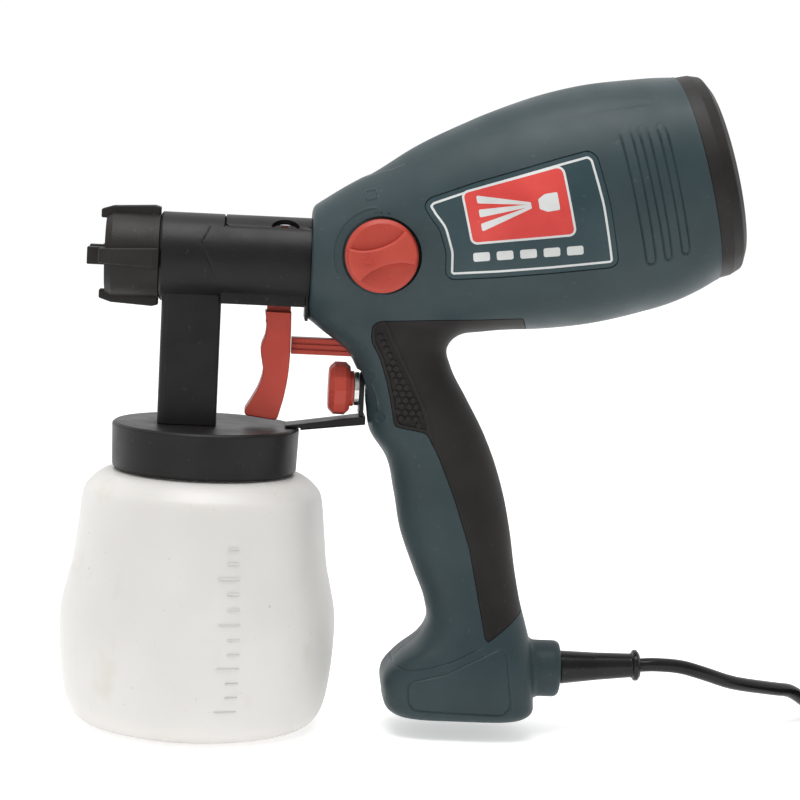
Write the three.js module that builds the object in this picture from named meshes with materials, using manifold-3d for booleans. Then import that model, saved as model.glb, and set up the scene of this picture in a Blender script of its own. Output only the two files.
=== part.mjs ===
// Hand-held electric turbine spray gun with a screw-on paint cup, modelled in millimetres.
// +Z is up, the nozzle points along -X and the gun's left side faces -Y.
// The origin is the middle of the paint cup's flat base.
import * as THREE from 'three';
import { mergeVertices } from 'three/addons/utils/BufferGeometryUtils.js';
import Module from 'manifold-3d';

const wasm = await Module();
wasm.setup();

// ---------------------------------------------------------------- driving dimensions
const GAP = 0.3; // running and seating clearance between neighbouring pieces
const ROUND = 24; // sides of a large round
const FINE = 12; // sides of a small round

const BARREL_Z = 195.5; // height of the spray axis above the cup's base
const BARREL_R = 18.5;
const BARREL_FRONT = -21.7;
const BARREL_REAR = 40.2;
const SPIGOT_R = 15.2; // rear spigot that plugs into the handle unit
const SPIGOT_REAR = 62;
const THREAD_R = 14.7; // front spigot under the union nut
const THREAD_FRONT = -33.9;

const STEM_X = -8; // middle of the stem and of the pick-up tube
const LID_TOP = 126.4;
const LID_BOTTOM = 107.1;
const LID_R = 39.05;

const PIVOT = { x: 29.3, z: 206 }; // trigger pivot
const ROD = { bottom: 157.3, top: 164.2, halfWidth: 3.4 };
const FLOW_Z = 143.6; // height of the flow control's axis
const LOCK = { x: 68.7, z: 201.2, radius: 15 };

const HOUSING_FRONT = 40.5;
const TURBINE = { x: 198.9, z: 238, tilt: THREE.MathUtils.degToRad(15.5) };
const WALL = 2.5; // bare housing wall
const GRIPPED_WALL = 4.2; // wall with the soft grip laid into it
const GRIP_SKIN = 2.1;
const FLOOR = 2.6; // wall and floor of the foot
const SPLIT = GAP / 2; // half of the joint between the two shells

const CABLE_Z = 27.4;
const BOOT_TILT = THREE.MathUtils.degToRad(3.5);
const CORD_R = 3;

// ---------------------------------------------------------------- directions
const X = new THREE.Vector3(1, 0, 0);
const Y = new THREE.Vector3(0, 1, 0);
const Z = new THREE.Vector3(0, 0, 1);
const TURBINE_AXIS = new THREE.Vector3(Math.cos(TURBINE.tilt), 0, Math.sin(TURBINE.tilt));
const TURBINE_UP = new THREE.Vector3(-Math.sin(TURBINE.tilt), 0, Math.cos(TURBINE.tilt));

// Point at distance s along the turbine axis (0 at the rear joint) and height h above it.
function turbinePoint(s, h = 0, y = 0) {
  return new THREE.Vector3(TURBINE.x, y, TURBINE.z)
    .addScaledVector(TURBINE_AXIS, s)
    .addScaledVector(TURBINE_UP, h);
}

// ---------------------------------------------------------------- solids
function signedVolume(position, index) {
  const [a, b, c] = [new THREE.Vector3(), new THREE.Vector3(), new THREE.Vector3()];
  let sum = 0;
  for (let i = 0; i < index.length; i += 3) {
    a.fromBufferAttribute(position, index[i]);
    b.fromBufferAttribute(position, index[i + 1]);
    c.fromBufferAttribute(position, index[i + 2]);
    sum += a.dot(b.cross(c));
  }
  return sum;
}

// Turns a three.js geometry into a boolean-ready solid with outward faces.
function solid(geometry) {
  geometry.deleteAttribute('normal');
  geometry.deleteAttribute('uv');
  const merged = mergeVertices(geometry, 1e-4);
  const position = merged.getAttribute('position');
  const source = merged.getIndex().array;
  const index = [];
  for (let i = 0; i < source.length; i += 3) {
    const [a, b, c] = [source[i], source[i + 1], source[i + 2]];
    if (a !== b && b !== c && a !== c) index.push(a, b, c);
  }
  if (signedVolume(position, index) < 0) index.reverse();
  return new wasm.Manifold(new wasm.Mesh({
    numProp: 3,
    vertProperties: new Float32Array(position.array),
    triVerts: new Uint32Array(index),
  }));
}

function union(first, ...rest) {
  return rest.reduce((sum, next) => sum.add(next), first);
}

function cut(first, ...rest) {
  return rest.reduce((left, next) => left.subtract(next), first);
}

function block(x0, x1, y0, y1, z0, z1) {
  const geometry = new THREE.BoxGeometry(x1 - x0, y1 - y0, z1 - z0);
  geometry.translate((x0 + x1) / 2, (y0 + y1) / 2, (z0 + z1) / 2);
  return solid(geometry);
}

// Revolved solid: profile of [radius, distance] pairs about an axis through origin.
function turned(profile, origin, axis, sides = ROUND) {
  const points = profile.map(([radius, along]) => new THREE.Vector2(radius, along));
  if (profile[0][0] > 0) points.push(points[0].clone());
  const geometry = new THREE.LatheGeometry(points, sides);
  geometry.applyQuaternion(new THREE.Quaternion().setFromUnitVectors(Y, axis));
  geometry.translate(origin.x, origin.y, origin.z);
  return solid(geometry);
}

function rod(radius, from, to, origin, axis, sides = FINE) {
  return turned([[0, from], [radius, from], [radius, to], [0, to]], origin, axis, sides);
}

function ring(outer, inner, from, to, origin, axis, sides = ROUND) {
  return turned([[inner, from], [outer, from], [outer, to], [inner, to]], origin, axis, sides);
}

function shapeOf(points) {
  return new THREE.Shape(points.map(([a, b]) => new THREE.Vector2(a, b)));
}

// Side outline of [x, z] pairs carried from y0 to y1.
function slab(points, y0, y1) {
  const shape = points instanceof THREE.Shape ? points : shapeOf(points);
  const depth = y1 - y0;
  const geometry = new THREE.ExtrudeGeometry(shape, { depth, bevelEnabled: false, curveSegments: 6 });
  geometry.rotateX(Math.PI / 2);
  geometry.translate(0, y1, 0);
  return solid(geometry);
}

// Round bar that follows a curve.
function bar(curve, radius, steps, sides = 8) {
  const outline = new THREE.Shape().absarc(0, 0, radius, 0, 2 * Math.PI);
  return solid(new THREE.ExtrudeGeometry(outline, {
    extrudePath: curve, steps, curveSegments: sides / 2, bevelEnabled: false,
  }));
}

// Skin through a row of equal-length point rings, closed by a fan at each end.
function loft(rings) {
  const count = rings[0].length;
  const vertices = [];
  const index = [];
  const middle = (points) => points.reduce((sum, p) => sum.add(p), new THREE.Vector3()).divideScalar(count);
  rings.forEach((points) => points.forEach((p) => vertices.push(p.x, p.y, p.z)));
  [rings[0], rings[rings.length - 1]].forEach((points) => {
    const p = middle(points);
    vertices.push(p.x, p.y, p.z);
  });
  const firstCap = rings.length * count;
  const lastRow = (rings.length - 1) * count;
  for (let k = 0; k < count; k += 1) {
    const next = (k + 1) % count;
    for (let row = 0; row < lastRow; row += count) {
      index.push(row + k, row + next, row + count + next);
      index.push(row + k, row + count + next, row + count + k);
    }
    index.push(firstCap, next, k);
    index.push(firstCap + 1, lastRow + k, lastRow + next);
  }
  const geometry = new THREE.BufferGeometry();
  geometry.setAttribute('position', new THREE.Float32BufferAttribute(vertices, 3));
  geometry.setIndex(index);
  return solid(geometry);
}

// Unit superellipse point: power 2 is an ellipse, higher is squarer.
function superellipse(turn, power) {
  const bend = (value) => Math.sign(value) * Math.abs(value) ** (2 / power);
  return [bend(Math.cos(turn)), bend(Math.sin(turn))];
}

function ringOf(sides, place) {
  return Array.from({ length: sides }, (_, k) => place((2 * Math.PI * (k + 0.5)) / sides));
}

// ---------------------------------------------------------------- housing forms
// Turbine body, [distance along the turbine axis, height above, depth below, half-width].
const BODY_STATIONS = [
  [-178, 17, 17, 19.5],
  [-157, 24.2, 24, 24.5],
  [-144, 28.6, 29.5, 26.5],
  [-128, 33.2, 35, 29.5],
  [-110, 39.2, 41, 34],
  [-92, 43.2, 43.8, 38],
  [-74, 46.2, 47.2, 41.5],
  [-55, 48.2, 49.3, 43.8],
  [-36, 48.2, 49.4, 45],
  [-18, 46.2, 48, 44.8],
  [-7, 44.6, 45.5, 43.9],
  [0, 43.2, 43.2, 43.2],
];

function bodyForm(inset, overrun = 0, sides = 26) {
  const place = ([s, top, bottom, side]) => ringOf(sides, (turn) => {
    const [across, up] = superellipse(turn, 2.1);
    const height = up > 0 ? (top - inset) * up : (bottom - inset) * up;
    return turbinePoint(s, height, (side - inset) * across);
  });
  const rings = BODY_STATIONS.map(place);
  if (overrun) rings.push(place([overrun, 43.2, 43.2, 43.2]));
  return loft(rings);
}

// Handle and foot, [front x, front z, rear x, rear z, half-width, squareness, is it gripped].
const HANDLE_STATIONS = [
  [40.9, 181, 112, 181, 21, 2.3, true],
  [41.3, 172.3, 106, 173, 20.3, 2.3, true],
  [46.1, 168, 103.3, 169.2, 19.8, 2.3, true],
  [51, 164.6, 101, 166, 19.3, 2.3, true],
  [55.5, 161.3, 99.4, 163, 18.8, 2.3, true],
  [61.8, 152.5, 101.2, 154.8, 18.2, 2.3, true],
  [66, 139, 108.3, 142, 18, 2.3, true],
  [69, 125.6, 115.7, 129, 17.8, 2.3, true],
  [75.5, 116.5, 120.4, 118.8, 17.5, 2.3, true],
  [79.8, 101.5, 125.8, 103.5, 17.2, 2.3, true],
  [83.4, 85, 129.9, 86.5, 17.2, 2.3, true],
  [89.8, 68.5, 133, 69, 17.8, 2.3, true],
  [95.3, 55, 136.2, 55, 19.2, 2.4, true],
  [96.4, 47, 138.6, 47, 21, 2.7, true],
  [92.6, 39.5, 140.6, 39.5, 23.2, 3.2, false],
  [84.6, 32.3, 141.6, 32.3, 25, 3.8, false],
  [78.9, 25, 142.4, 25, 26, 4.2, false],
  [79, 16, 142.9, 16, 26, 4.2, false],
  [80.6, 10.5, 142.6, 10.5, 25.2, 4, false],
  [83.5, 7.5, 140, 7.5, 22.8, 3.8, false],
];

function handleForm(insetAt, floorLift, stations = HANDLE_STATIONS, sides = 22) {
  const last = stations.length - 1;
  return loft(stations.map(([fx, fz, rx, rz, side, power, gripped], row) => {
    const inset = insetAt(gripped);
    const front = new THREE.Vector3(fx, 0, fz);
    const rear = new THREE.Vector3(rx, 0, rz);
    const along = rear.clone().sub(front).normalize();
    const middle = front.clone().add(rear).multiplyScalar(0.5);
    const reach = front.distanceTo(rear) / 2 - inset;
    middle.z += row === last ? floorLift : 0;
    return ringOf(sides, (turn) => {
      const [lengthwise, across] = superellipse(turn, power);
      return middle.clone().addScaledVector(along, reach * lengthwise).setY((side - inset) * across);
    });
  }));
}

function bossForm(inset) {
  const radius = 12 - inset;
  const end = 154.2 - inset;
  const profile = [[0, 132], [radius, 132], [radius, 151.5], [radius - 2.5, end], [0, end]];
  return turned(profile, new THREE.Vector3(0, 0, CABLE_Z), X);
}

function outerForm(inset) {
  const body = bodyForm(inset).intersect(block(HOUSING_FRONT + inset, 300, -60, 60, 100, 320));
  return union(body, handleForm(() => inset, inset), bossForm(inset));
}

function cavityForm() {
  const bareRegion = union(
    block(HOUSING_FRONT + 3, 64, -60, 60, 165, 320),
    block(63, 300, -60, 60, 183, 320),
  );
  const bare = bodyForm(WALL, 4, 18).intersect(bareRegion);
  const gripped = bodyForm(GRIPPED_WALL, 0, 18).intersect(block(HOUSING_FRONT + 3, 300, -60, 60, 100, 200));
  const lockPad = rod(18.4, -40, -22.2, new THREE.Vector3(LOCK.x, 0, LOCK.z), Y, ROUND);
  const everyOther = HANDLE_STATIONS.filter((_, row) => row % 2 === 0 || row === HANDLE_STATIONS.length - 1);
  const handle = handleForm((isGripped) => (isGripped ? GRIPPED_WALL : FLOOR), FLOOR, everyOther, 14);
  return cut(union(bare, gripped, handle), lockPad);
}

// Side outline of the soft grip; its rear edge is open beyond the handle's back.
const GRIP_OUTLINE = [
  [66.5, 165.5], [70.4, 158.8], [73.5, 149.9], [75.8, 141.2], [78, 130.2], [91.5, 128.2], [97.3, 117.6],
  [104.4, 101.1], [111.8, 80.4], [120.4, 41.4], [137.5, 54.5], [152, 70], [152, 166],
  [132.4, 170], [128.4, 177.8], [110.8, 176.4], [69.6, 174], [66.5, 172],
];

// Side outline of the label panel.
const LABEL_OUTLINE = [
  [84.3, 222.5], [86.5, 225.8], [104.3, 233], [137.6, 244.6], [149.1, 248.4], [152.5, 246.1],
  [158.4, 227.6], [163.8, 204.1], [162, 201.5], [137.7, 197.9], [116.1, 195], [97, 193],
  [94.6, 195], [94.2, 204], [91.2, 213.2], [87.3, 217.9],
];

// The same closed outline moved outwards by amount.
function grown(points, amount) {
  const side = Math.sign(THREE.ShapeUtils.area(points.map(([a, b]) => new THREE.Vector2(a, b))));
  const normal = ([ax, ay], [bx, by]) => new THREE.Vector2(by - ay, ax - bx).normalize().multiplyScalar(side);
  return points.map((point, k) => {
    const before = normal(points[(k + points.length - 1) % points.length], point);
    const after = normal(point, points[(k + 1) % points.length]);
    const shift = before.clone().add(after).multiplyScalar(amount / (1 + before.dot(after)));
    return [point[0] + shift.x, point[1] + shift.y];
  });
}

// Screw positions in the joint between the shells, as points in the plane y = 0.
const SCREWS = [
  turbinePoint(-128, 24.8),
  turbinePoint(-42, 40.3),
  turbinePoint(-42, -41),
  new THREE.Vector3(106, 0, 176),
  new THREE.Vector3(84.5, 0, 137),
  new THREE.Vector3(104.5, 0, 76),
  new THREE.Vector3(94, 0, 19),
];
const SCREW_HEAD_TOP = 12.5;
const SCREW_SEAT = 10;

function housingBody() {
  const outer = outerForm(0);
  const bed = slab(grown(GRIP_OUTLINE, GAP), -60, 60).subtract(outerForm(GRIP_SKIN + GAP));
  const labelBed = slab(grown(LABEL_OUTLINE, GAP), -60, 0).subtract(bodyForm(1.2));
  const bosses = SCREWS.map((point) => rod(4.1, -50, 50, point, Y, 8)).reduce((a, b) => a.add(b));
  const walls = cut(outer, cavityForm());
  return cut(union(walls, bosses.intersect(outerForm(1.2))), bed, labelBed);
}

function housingOpenings() {
  const barrelMouth = rod(16.7, 39, 48, new THREE.Vector3(0, 0, BARREL_Z), X, ROUND);
  const rodMouth = block(44, 74, -3.9, 3.9, ROD.bottom - 0.6, ROD.top + 0.6);
  const bracketPocket = block(58, 65.9, -7.6, 7.6, 124.5, 152.2);
  const armPocket = block(58, 66.9, -7.6, 7.6, 126, 133.6);
  const lockAt = new THREE.Vector3(LOCK.x, 0, LOCK.z);
  const lockRecess = rod(LOCK.radius + 1.1, -45, -24, lockAt, Y, ROUND);
  const lockShaft = rod(4.4, -26, -21, lockAt, Y);
  const cableBore = rod(8.2, 128, 157, new THREE.Vector3(0, 0, CABLE_Z), X, 16);
  const holes = SCREWS.flatMap((point) => [
    rod(1.7 + GAP, -8, 14, point, Y, 8),
    rod(3.4 + GAP, SCREW_SEAT, 60, point, Y, 10),
  ]);
  return [barrelMouth, rodMouth, bracketPocket, armPocket, lockRecess, lockShaft, cableBore, ...holes];
}

const housing = cut(housingBody(), ...housingOpenings());

function housingLeft() {
  return housing.intersect(block(0, 300, -60, -SPLIT, 0, 320));
}

function housingRight() {
  return housing.intersect(block(0, 300, SPLIT, 60, 0, 320));
}

function grips() {
  const skin = slab(GRIP_OUTLINE, -60, 60).intersect(outerForm(0)).subtract(outerForm(GRIP_SKIN));
  const screwHoles = SCREWS.map((point) => rod(3.4 + GAP, SCREW_SEAT, 60, point, Y, 10));
  return cut(skin, ...screwHoles);
}

const grip = grips();

function gripLeft() {
  return grip.intersect(block(0, 300, -60, -SPLIT, 0, 320));
}

function gripRight() {
  return grip.intersect(block(0, 300, SPLIT, 60, 0, 320));
}

function sideLabel() {
  return slab(LABEL_OUTLINE, -60, 0).intersect(bodyForm(0.4)).subtract(bodyForm(0.9));
}

function rearCover() {
  const shell = turned([
    [40.2, -4], [40.2, GAP], [42.9, GAP], [42.6, 6], [41, 10.4], [36.5, 12.8], [6, 12.8],
    [6, 10.6], [35.6, 10.6], [38, 8.6], [38.4, -4],
  ], turbinePoint(0), TURBINE_AXIS, 30);
  const slots = Array.from({ length: 12 }, (_, k) => {
    const slot = new THREE.BoxGeometry(19, 6, 3.4);
    slot.translate(22.5, 11.7, 0);
    slot.rotateY((2 * Math.PI * k) / 12);
    slot.applyQuaternion(new THREE.Quaternion().setFromUnitVectors(Y, TURBINE_AXIS));
    slot.translate(TURBINE.x, 0, TURBINE.z);
    return solid(slot);
  });
  return cut(shell, ...slots);
}

function airFilter() {
  return ring(36, 6, 4.5, 9.2, turbinePoint(0), TURBINE_AXIS, 20);
}

// ---------------------------------------------------------------- motor and fan
function motorStator() {
  return ring(24, 18.2, -100, -56, turbinePoint(0), TURBINE_AXIS, 24);
}

function motorRotor() {
  return turned([
    [0, -115], [4, -115], [4, -97], [17.6, -97], [17.6, -59], [4, -59], [4, -53], [10.5, -53],
    [10.5, -42], [4, -42], [4, -11.5], [0, -11.5],
  ], turbinePoint(0), TURBINE_AXIS, 20);
}

function bearing(from) {
  return ring(11, 4 + GAP, from, from + 7, turbinePoint(0), TURBINE_AXIS, 20);
}

function turbineFan() {
  const disc = turned([
    [4 + GAP, -24], [33, -24], [33, -22.4], [9, -22.4], [9, -12], [4 + GAP, -12],
  ], turbinePoint(0), TURBINE_AXIS, 20);
  const blades = Array.from({ length: 9 }, (_, k) => {
    const blade = new THREE.BoxGeometry(24, 8.6, 1.2);
    blade.rotateY(0.35);
    blade.translate(20, -18.4, 0);
    blade.rotateY((2 * Math.PI * k) / 9);
    blade.applyQuaternion(new THREE.Quaternion().setFromUnitVectors(Y, TURBINE_AXIS));
    blade.translate(TURBINE.x, 0, TURBINE.z);
    return solid(blade);
  });
  return union(disc, ...blades);
}

function fanShroud() {
  return turned([
    [13, -28], [36.5, -28], [36.5, -9], [34.6, -9], [34.6, -26], [13, -26],
  ], turbinePoint(0), TURBINE_AXIS, 20);
}

function airDuct() {
  const path = new THREE.CatmullRomCurve3([
    turbinePoint(-29, -27, 15),
    turbinePoint(-60, -27.5, 15.5),
    turbinePoint(-99, -26.5, 16),
    new THREE.Vector3(80, 2, BARREL_Z - 2),
    new THREE.Vector3(68, 0, BARREL_Z),
  ]);
  const outline = new THREE.Shape().absarc(0, 0, 4.4, 0, 2 * Math.PI);
  outline.holes.push(new THREE.Path().absarc(0, 0, 3.4, 0, 2 * Math.PI, true));
  return solid(new THREE.ExtrudeGeometry(outline, {
    extrudePath: path, steps: 10, curveSegments: 4, bevelEnabled: false,
  }));
}

function barrelSocket() {
  return turned([
    [16.7, 45.5], [17.9, 45.5], [17.9, 66.7], [4.6, 66.7], [4.6, 64.9], [16.7, 64.9],
  ], new THREE.Vector3(0, 0, BARREL_Z), X);
}

function brushHolder(side) {
  const geometry = new THREE.BoxGeometry(9, 14, 8);
  geometry.rotateY(-TURBINE.tilt);
  const at = turbinePoint(-47.5, 0, side * (10.5 + GAP + 7));
  geometry.translate(at.x, at.y, at.z);
  return solid(geometry);
}

// ---------------------------------------------------------------- handle fittings
function powerSwitch() {
  return union(block(79.4, 93, -7, 7, 150, 168), block(82, 90, -5, 5, 147, 151));
}

function switchLead() {
  const path = new THREE.CatmullRomCurve3([
    new THREE.Vector3(87, 0, 146.1),
    new THREE.Vector3(88.5, 0, 142.5),
    new THREE.Vector3(94.5, 0, 134),
    new THREE.Vector3(104, 0, 116),
    new THREE.Vector3(114, 0, 92),
    new THREE.Vector3(119, 0, 66),
    new THREE.Vector3(122, 0, 46),
    new THREE.Vector3(128.5, 0, CABLE_Z + 6),
  ]);
  return bar(path, 2.4, 12, 6);
}

function cableClamp() {
  return union(
    block(121, 132, -10, 10, CABLE_Z - 3, CABLE_Z + 3),
    block(123, 130, -5, 5, CABLE_Z - 8, CABLE_Z - 2.5),
  );
}

function switchRod() {
  const body = block(34.1, 70.5, -ROD.halfWidth, ROD.halfWidth, ROD.bottom, ROD.top);
  const pitch = (ROD.top - ROD.bottom) / 3;
  const grooves = [-1, 1].flatMap((side) => [1, 2].map((row) => block(
    36, 68,
    side > 0 ? ROD.halfWidth - 0.8 : -ROD.halfWidth - 1,
    side > 0 ? ROD.halfWidth + 1 : -ROD.halfWidth + 0.8,
    ROD.bottom + row * pitch - 0.4, ROD.bottom + row * pitch + 0.4,
  )));
  return cut(body, ...grooves);
}

function lockKnob() {
  const at = new THREE.Vector3(LOCK.x, 0, LOCK.z);
  const dial = turned([
    [0, -31.6], [LOCK.radius - 1.6, -31.2], [LOCK.radius, -29.6], [LOCK.radius, -24.3],
    [4, -24.3], [4, -19.9], [0, -19.9],
  ], at, Y);
  const tab = new THREE.Shape();
  tab.moveTo(-12.6, -4.4);
  tab.quadraticCurveTo(0, -1.6, 12.6, -4.4);
  tab.lineTo(12.6, 4.4);
  tab.quadraticCurveTo(0, 1.6, -12.6, 4.4);
  tab.closePath();
  const geometry = new THREE.ExtrudeGeometry(tab, { depth: 4, bevelEnabled: false, curveSegments: 5 });
  geometry.rotateX(Math.PI / 2);
  geometry.rotateY(-0.35);
  geometry.translate(LOCK.x, -30.4, LOCK.z);
  return dial.add(solid(geometry));
}

function lockCam() {
  const at = new THREE.Vector3(LOCK.x, 0, LOCK.z);
  const lobe = block(LOCK.x - 9, LOCK.x, -21.9, -20.1, LOCK.z - 3.5, LOCK.z + 3.5);
  const plate = union(rod(6.6, -21.9, -20.1, at, Y, FINE), lobe);
  return cut(plate, rod(4 + GAP, -23, -19, at, Y, FINE));
}

function housingScrew(point) {
  return turned([
    [0, -7.6], [1.7, -7.6], [1.7, SCREW_SEAT + GAP], [3.4, SCREW_SEAT + GAP],
    [3.4, SCREW_HEAD_TOP - 0.6], [2.6, SCREW_HEAD_TOP], [0, SCREW_HEAD_TOP],
  ], point, Y, 10);
}

// ---------------------------------------------------------------- cord
const BOOT_START = new THREE.Vector3(144, 0, CABLE_Z);
const BOOT_AXIS = new THREE.Vector3(Math.cos(BOOT_TILT), 0, Math.sin(BOOT_TILT));
const BOOT_LENGTH = 44.8;

function strainRelief() {
  const base = [[7.7, 0], [7.7, 6], [6.6, 8], [6.6, 9.5], [7.1, 11]];
  const taper = [[5.9, 26], [5.1, 41.8], [6.7, 42.4], [6.7, 44.4], [5.4, BOOT_LENGTH]];
  const outer = [[0, 0], ...base, ...taper, [0, BOOT_LENGTH]];
  return turned(outer, BOOT_START, BOOT_AXIS, 16);
}

const CORD_EXIT = BOOT_START.clone().addScaledVector(BOOT_AXIS, BOOT_LENGTH + GAP);
const COIL = { x: 310, y: 14, inner: 24, outer: 42, height: 18 };

function powerCord() {
  return bar(new THREE.CatmullRomCurve3([
    CORD_EXIT,
    CORD_EXIT.clone().addScaledVector(BOOT_AXIS, 7),
    new THREE.Vector3(207, 2, 29.6),
    new THREE.Vector3(217.7, 5, 26.5),
    new THREE.Vector3(232.4, 12, 21.3),
    new THREE.Vector3(252, 25, 16.6),
    new THREE.Vector3(262, 33, 14),
    new THREE.Vector3(271, 42, 8),
    new THREE.Vector3(279, 49.5, CORD_R + 0.1),
  ]), CORD_R, 18);
}

function cordCoil() {
  const lip = 2.5;
  return turned([
    [COIL.inner, lip], [COIL.inner + lip, 0], [COIL.outer - lip, 0], [COIL.outer, lip],
    [COIL.outer, COIL.height - lip], [COIL.outer - lip, COIL.height],
    [COIL.inner + lip, COIL.height], [COIL.inner, COIL.height - lip],
  ], new THREE.Vector3(COIL.x, COIL.y, 0), Z, 24);
}

const PLUG = { x: 386, y: 0, z: 7.5 };

function cordTail() {
  return bar(new THREE.CatmullRomCurve3([
    new THREE.Vector3(COIL.x + COIL.outer + 1, COIL.y - 8, CORD_R + 0.5),
    new THREE.Vector3(362, 1.5, 5.5),
    new THREE.Vector3(PLUG.x - 14, PLUG.y, PLUG.z),
    new THREE.Vector3(PLUG.x - 8.3, PLUG.y, PLUG.z),
  ]), CORD_R, 5);
}

function powerPlug() {
  const at = new THREE.Vector3(PLUG.x, PLUG.y, PLUG.z);
  const outline = new THREE.Shape();
  outline.moveTo(-8, -5);
  outline.lineTo(0, -7);
  outline.lineTo(8, -17.5);
  outline.lineTo(26, -17.5);
  outline.lineTo(30, -13.5);
  outline.lineTo(30, 13.5);
  outline.lineTo(26, 17.5);
  outline.lineTo(8, 17.5);
  outline.lineTo(0, 7);
  outline.lineTo(-8, 5);
  outline.closePath();
  const geometry = new THREE.ExtrudeGeometry(outline, { depth: 13, bevelEnabled: false });
  geometry.translate(PLUG.x, PLUG.y, 1);
  const pins = [-9.3, 9.3].map((y) => rod(2, 29, 49, at.clone().setY(PLUG.y + y), X, 10));
  return union(solid(geometry), ...pins);
}

// ---------------------------------------------------------------- spray head
const ON_AXIS = new THREE.Vector3(0, 0, BARREL_Z);

function barrel() {
  const tube = turned([
    [12.6, THREAD_FRONT], [THREAD_R, THREAD_FRONT], [THREAD_R, BARREL_FRONT],
    [BARREL_R - 0.8, BARREL_FRONT], [BARREL_R, BARREL_FRONT + 0.8], [BARREL_R, BARREL_REAR],
    [SPIGOT_R, BARREL_REAR], [SPIGOT_R, 54.3], [13.6, 54.3], [13.6, 57.7], [SPIGOT_R, 57.7],
    [SPIGOT_R, SPIGOT_REAR], [11.6, SPIGOT_REAR], [11.6, 43], [15.8, 39], [15.8, -18], [12.6, -20],
  ], ON_AXIS, X, ROUND);
  const keel = block(3.8, BARREL_REAR, -13, 13, 177.6, 182.6);
  const lip = block(39, BARREL_REAR, -12, 12, 171.9, 180);
  const fluidTube = rod(6.4, -26, 12.5, ON_AXIS, X, 16);
  const web = block(-18, 3, -5.2, 5.2, 178, 192);
  const topWeb = block(-16, 6, -1.1, 1.1, 199, 212);
  const underside = cut(union(keel, lip), rod(15.8, 0, 45, ON_AXIS, X, ROUND));
  const whole = union(tube, underside, fluidTube, web, topWeb);
  const slot = block(20.4, 38.7, -4.9, 4.9, 174, 188);
  const fluidBore = union(rod(3, -27, 14, ON_AXIS, X), rod(4.8, -27, -17, ON_AXIS, X));
  const packingSeat = rod(4.9, 5, 14, ON_AXIS, X);
  const drop = rod(3.2, 170, BARREL_Z, new THREE.Vector3(STEM_X, 0, 0), Z);
  const pinHole = rod(2.3, -13.6, 13.6, new THREE.Vector3(PIVOT.x, 0, PIVOT.z), Y, 10);
  const notch = new THREE.Shape();
  notch.absarc(PIVOT.x, 210.2, 6, 0, Math.PI);
  const notches = [slab(notch, -20, -11.9), slab(notch, 11.9, 20)];
  const topSlot = block(4.3, 5.2, -14, 14, 209.5, 216);
  return cut(whole, slot, fluidBore, packingSeat, drop, pinHole, topSlot, ...notches);
}

function roundedRect(x0, x1, halfWidth, radius) {
  const shape = new THREE.Shape();
  shape.moveTo(x0 + radius, -halfWidth);
  shape.lineTo(x1 - radius, -halfWidth);
  shape.quadraticCurveTo(x1, -halfWidth, x1, -halfWidth + radius);
  shape.lineTo(x1, halfWidth - radius);
  shape.quadraticCurveTo(x1, halfWidth, x1 - radius, halfWidth);
  shape.lineTo(x0 + radius, halfWidth);
  shape.quadraticCurveTo(x0, halfWidth, x0, halfWidth - radius);
  shape.lineTo(x0, -halfWidth + radius);
  shape.quadraticCurveTo(x0, -halfWidth, x0 + radius, -halfWidth);
  return shape;
}

function stem() {
  const geometry = new THREE.ExtrudeGeometry(roundedRect(-20.3, 4.2, 11.5, 3.5), {
    depth: 66, bevelEnabled: false, curveSegments: 4,
  });
  geometry.translate(0, 0, LID_TOP + GAP);
  const underBarrel = rod(BARREL_R + GAP, -40, 40, ON_AXIS, X, ROUND);
  const keelRoom = block(3.5, 10, -14, 14, 177.3, 200);
  const bore = rod(3.2, 100, 200, new THREE.Vector3(STEM_X, 0, 0), Z);
  return cut(solid(geometry).intersect(block(-30, 10, -20, 20, 100, 190)), underBarrel, keelRoom, bore);
}

function cupLid() {
  const cap = turned([
    [0, 122.8], [36.3, 122.8], [36.3, LID_BOTTOM], [37.6, LID_BOTTOM], [38.5, LID_BOTTOM + 1.2],
    [LID_R, LID_TOP - 1], [LID_R - 1, LID_TOP], [0, LID_TOP],
  ], new THREE.Vector3(), Z, 28);
  return cut(cap, rod(4.2, 100, 140, new THREE.Vector3(STEM_X, 0, 0), Z));
}

function supportArm() {
  return slab([
    [33, 126.7], [39.4, 126.7], [39.4, 125.8], [66.3, 129.2], [66.3, 132.9], [39, 128.5], [33, 127.6],
  ], -7, 7);
}

function flowBracket() {
  const plate = new THREE.Shape();
  plate.moveTo(-7, 130);
  plate.lineTo(7, 130);
  plate.lineTo(7, FLOW_Z);
  plate.absarc(0, FLOW_Z, 7, 0, Math.PI);
  plate.lineTo(-7, 130);
  const geometry = new THREE.ExtrudeGeometry(plate, { depth: 1.9, bevelEnabled: false, curveSegments: 8 });
  geometry.rotateX(Math.PI / 2);
  geometry.rotateZ(Math.PI / 2);
  geometry.translate(63.4, 0, 0);
  const armRoom = slab([[60, 120], [70, 120], [70, 133.6], [60, 132.5]], -8, 8);
  return cut(solid(geometry), armRoom);
}

function spindleWasher() {
  return ring(7.1, 2 + GAP, 61.3, 63.1, new THREE.Vector3(0, 0, FLOW_Z), X, 24);
}

function flowKnob() {
  const flats = new THREE.CylinderGeometry(11, 11, 9, 12);
  flats.rotateZ(Math.PI / 2);
  flats.translate(55, 0, FLOW_Z);
  const bevels = turned([
    [0, 50.4], [8.6, 50.4], [11.1, 52.6], [11.1, 57.6], [8.8, 59.6], [0, 59.6],
  ], new THREE.Vector3(0, 0, FLOW_Z), X, 24);
  const collar = rod(7.4, 59, 61, new THREE.Vector3(0, 0, FLOW_Z), X, 24);
  const bore = rod(2 + GAP, 50, 62, new THREE.Vector3(0, 0, FLOW_Z), X);
  return cut(union(solid(flats).intersect(bevels), collar), bore);
}

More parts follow.
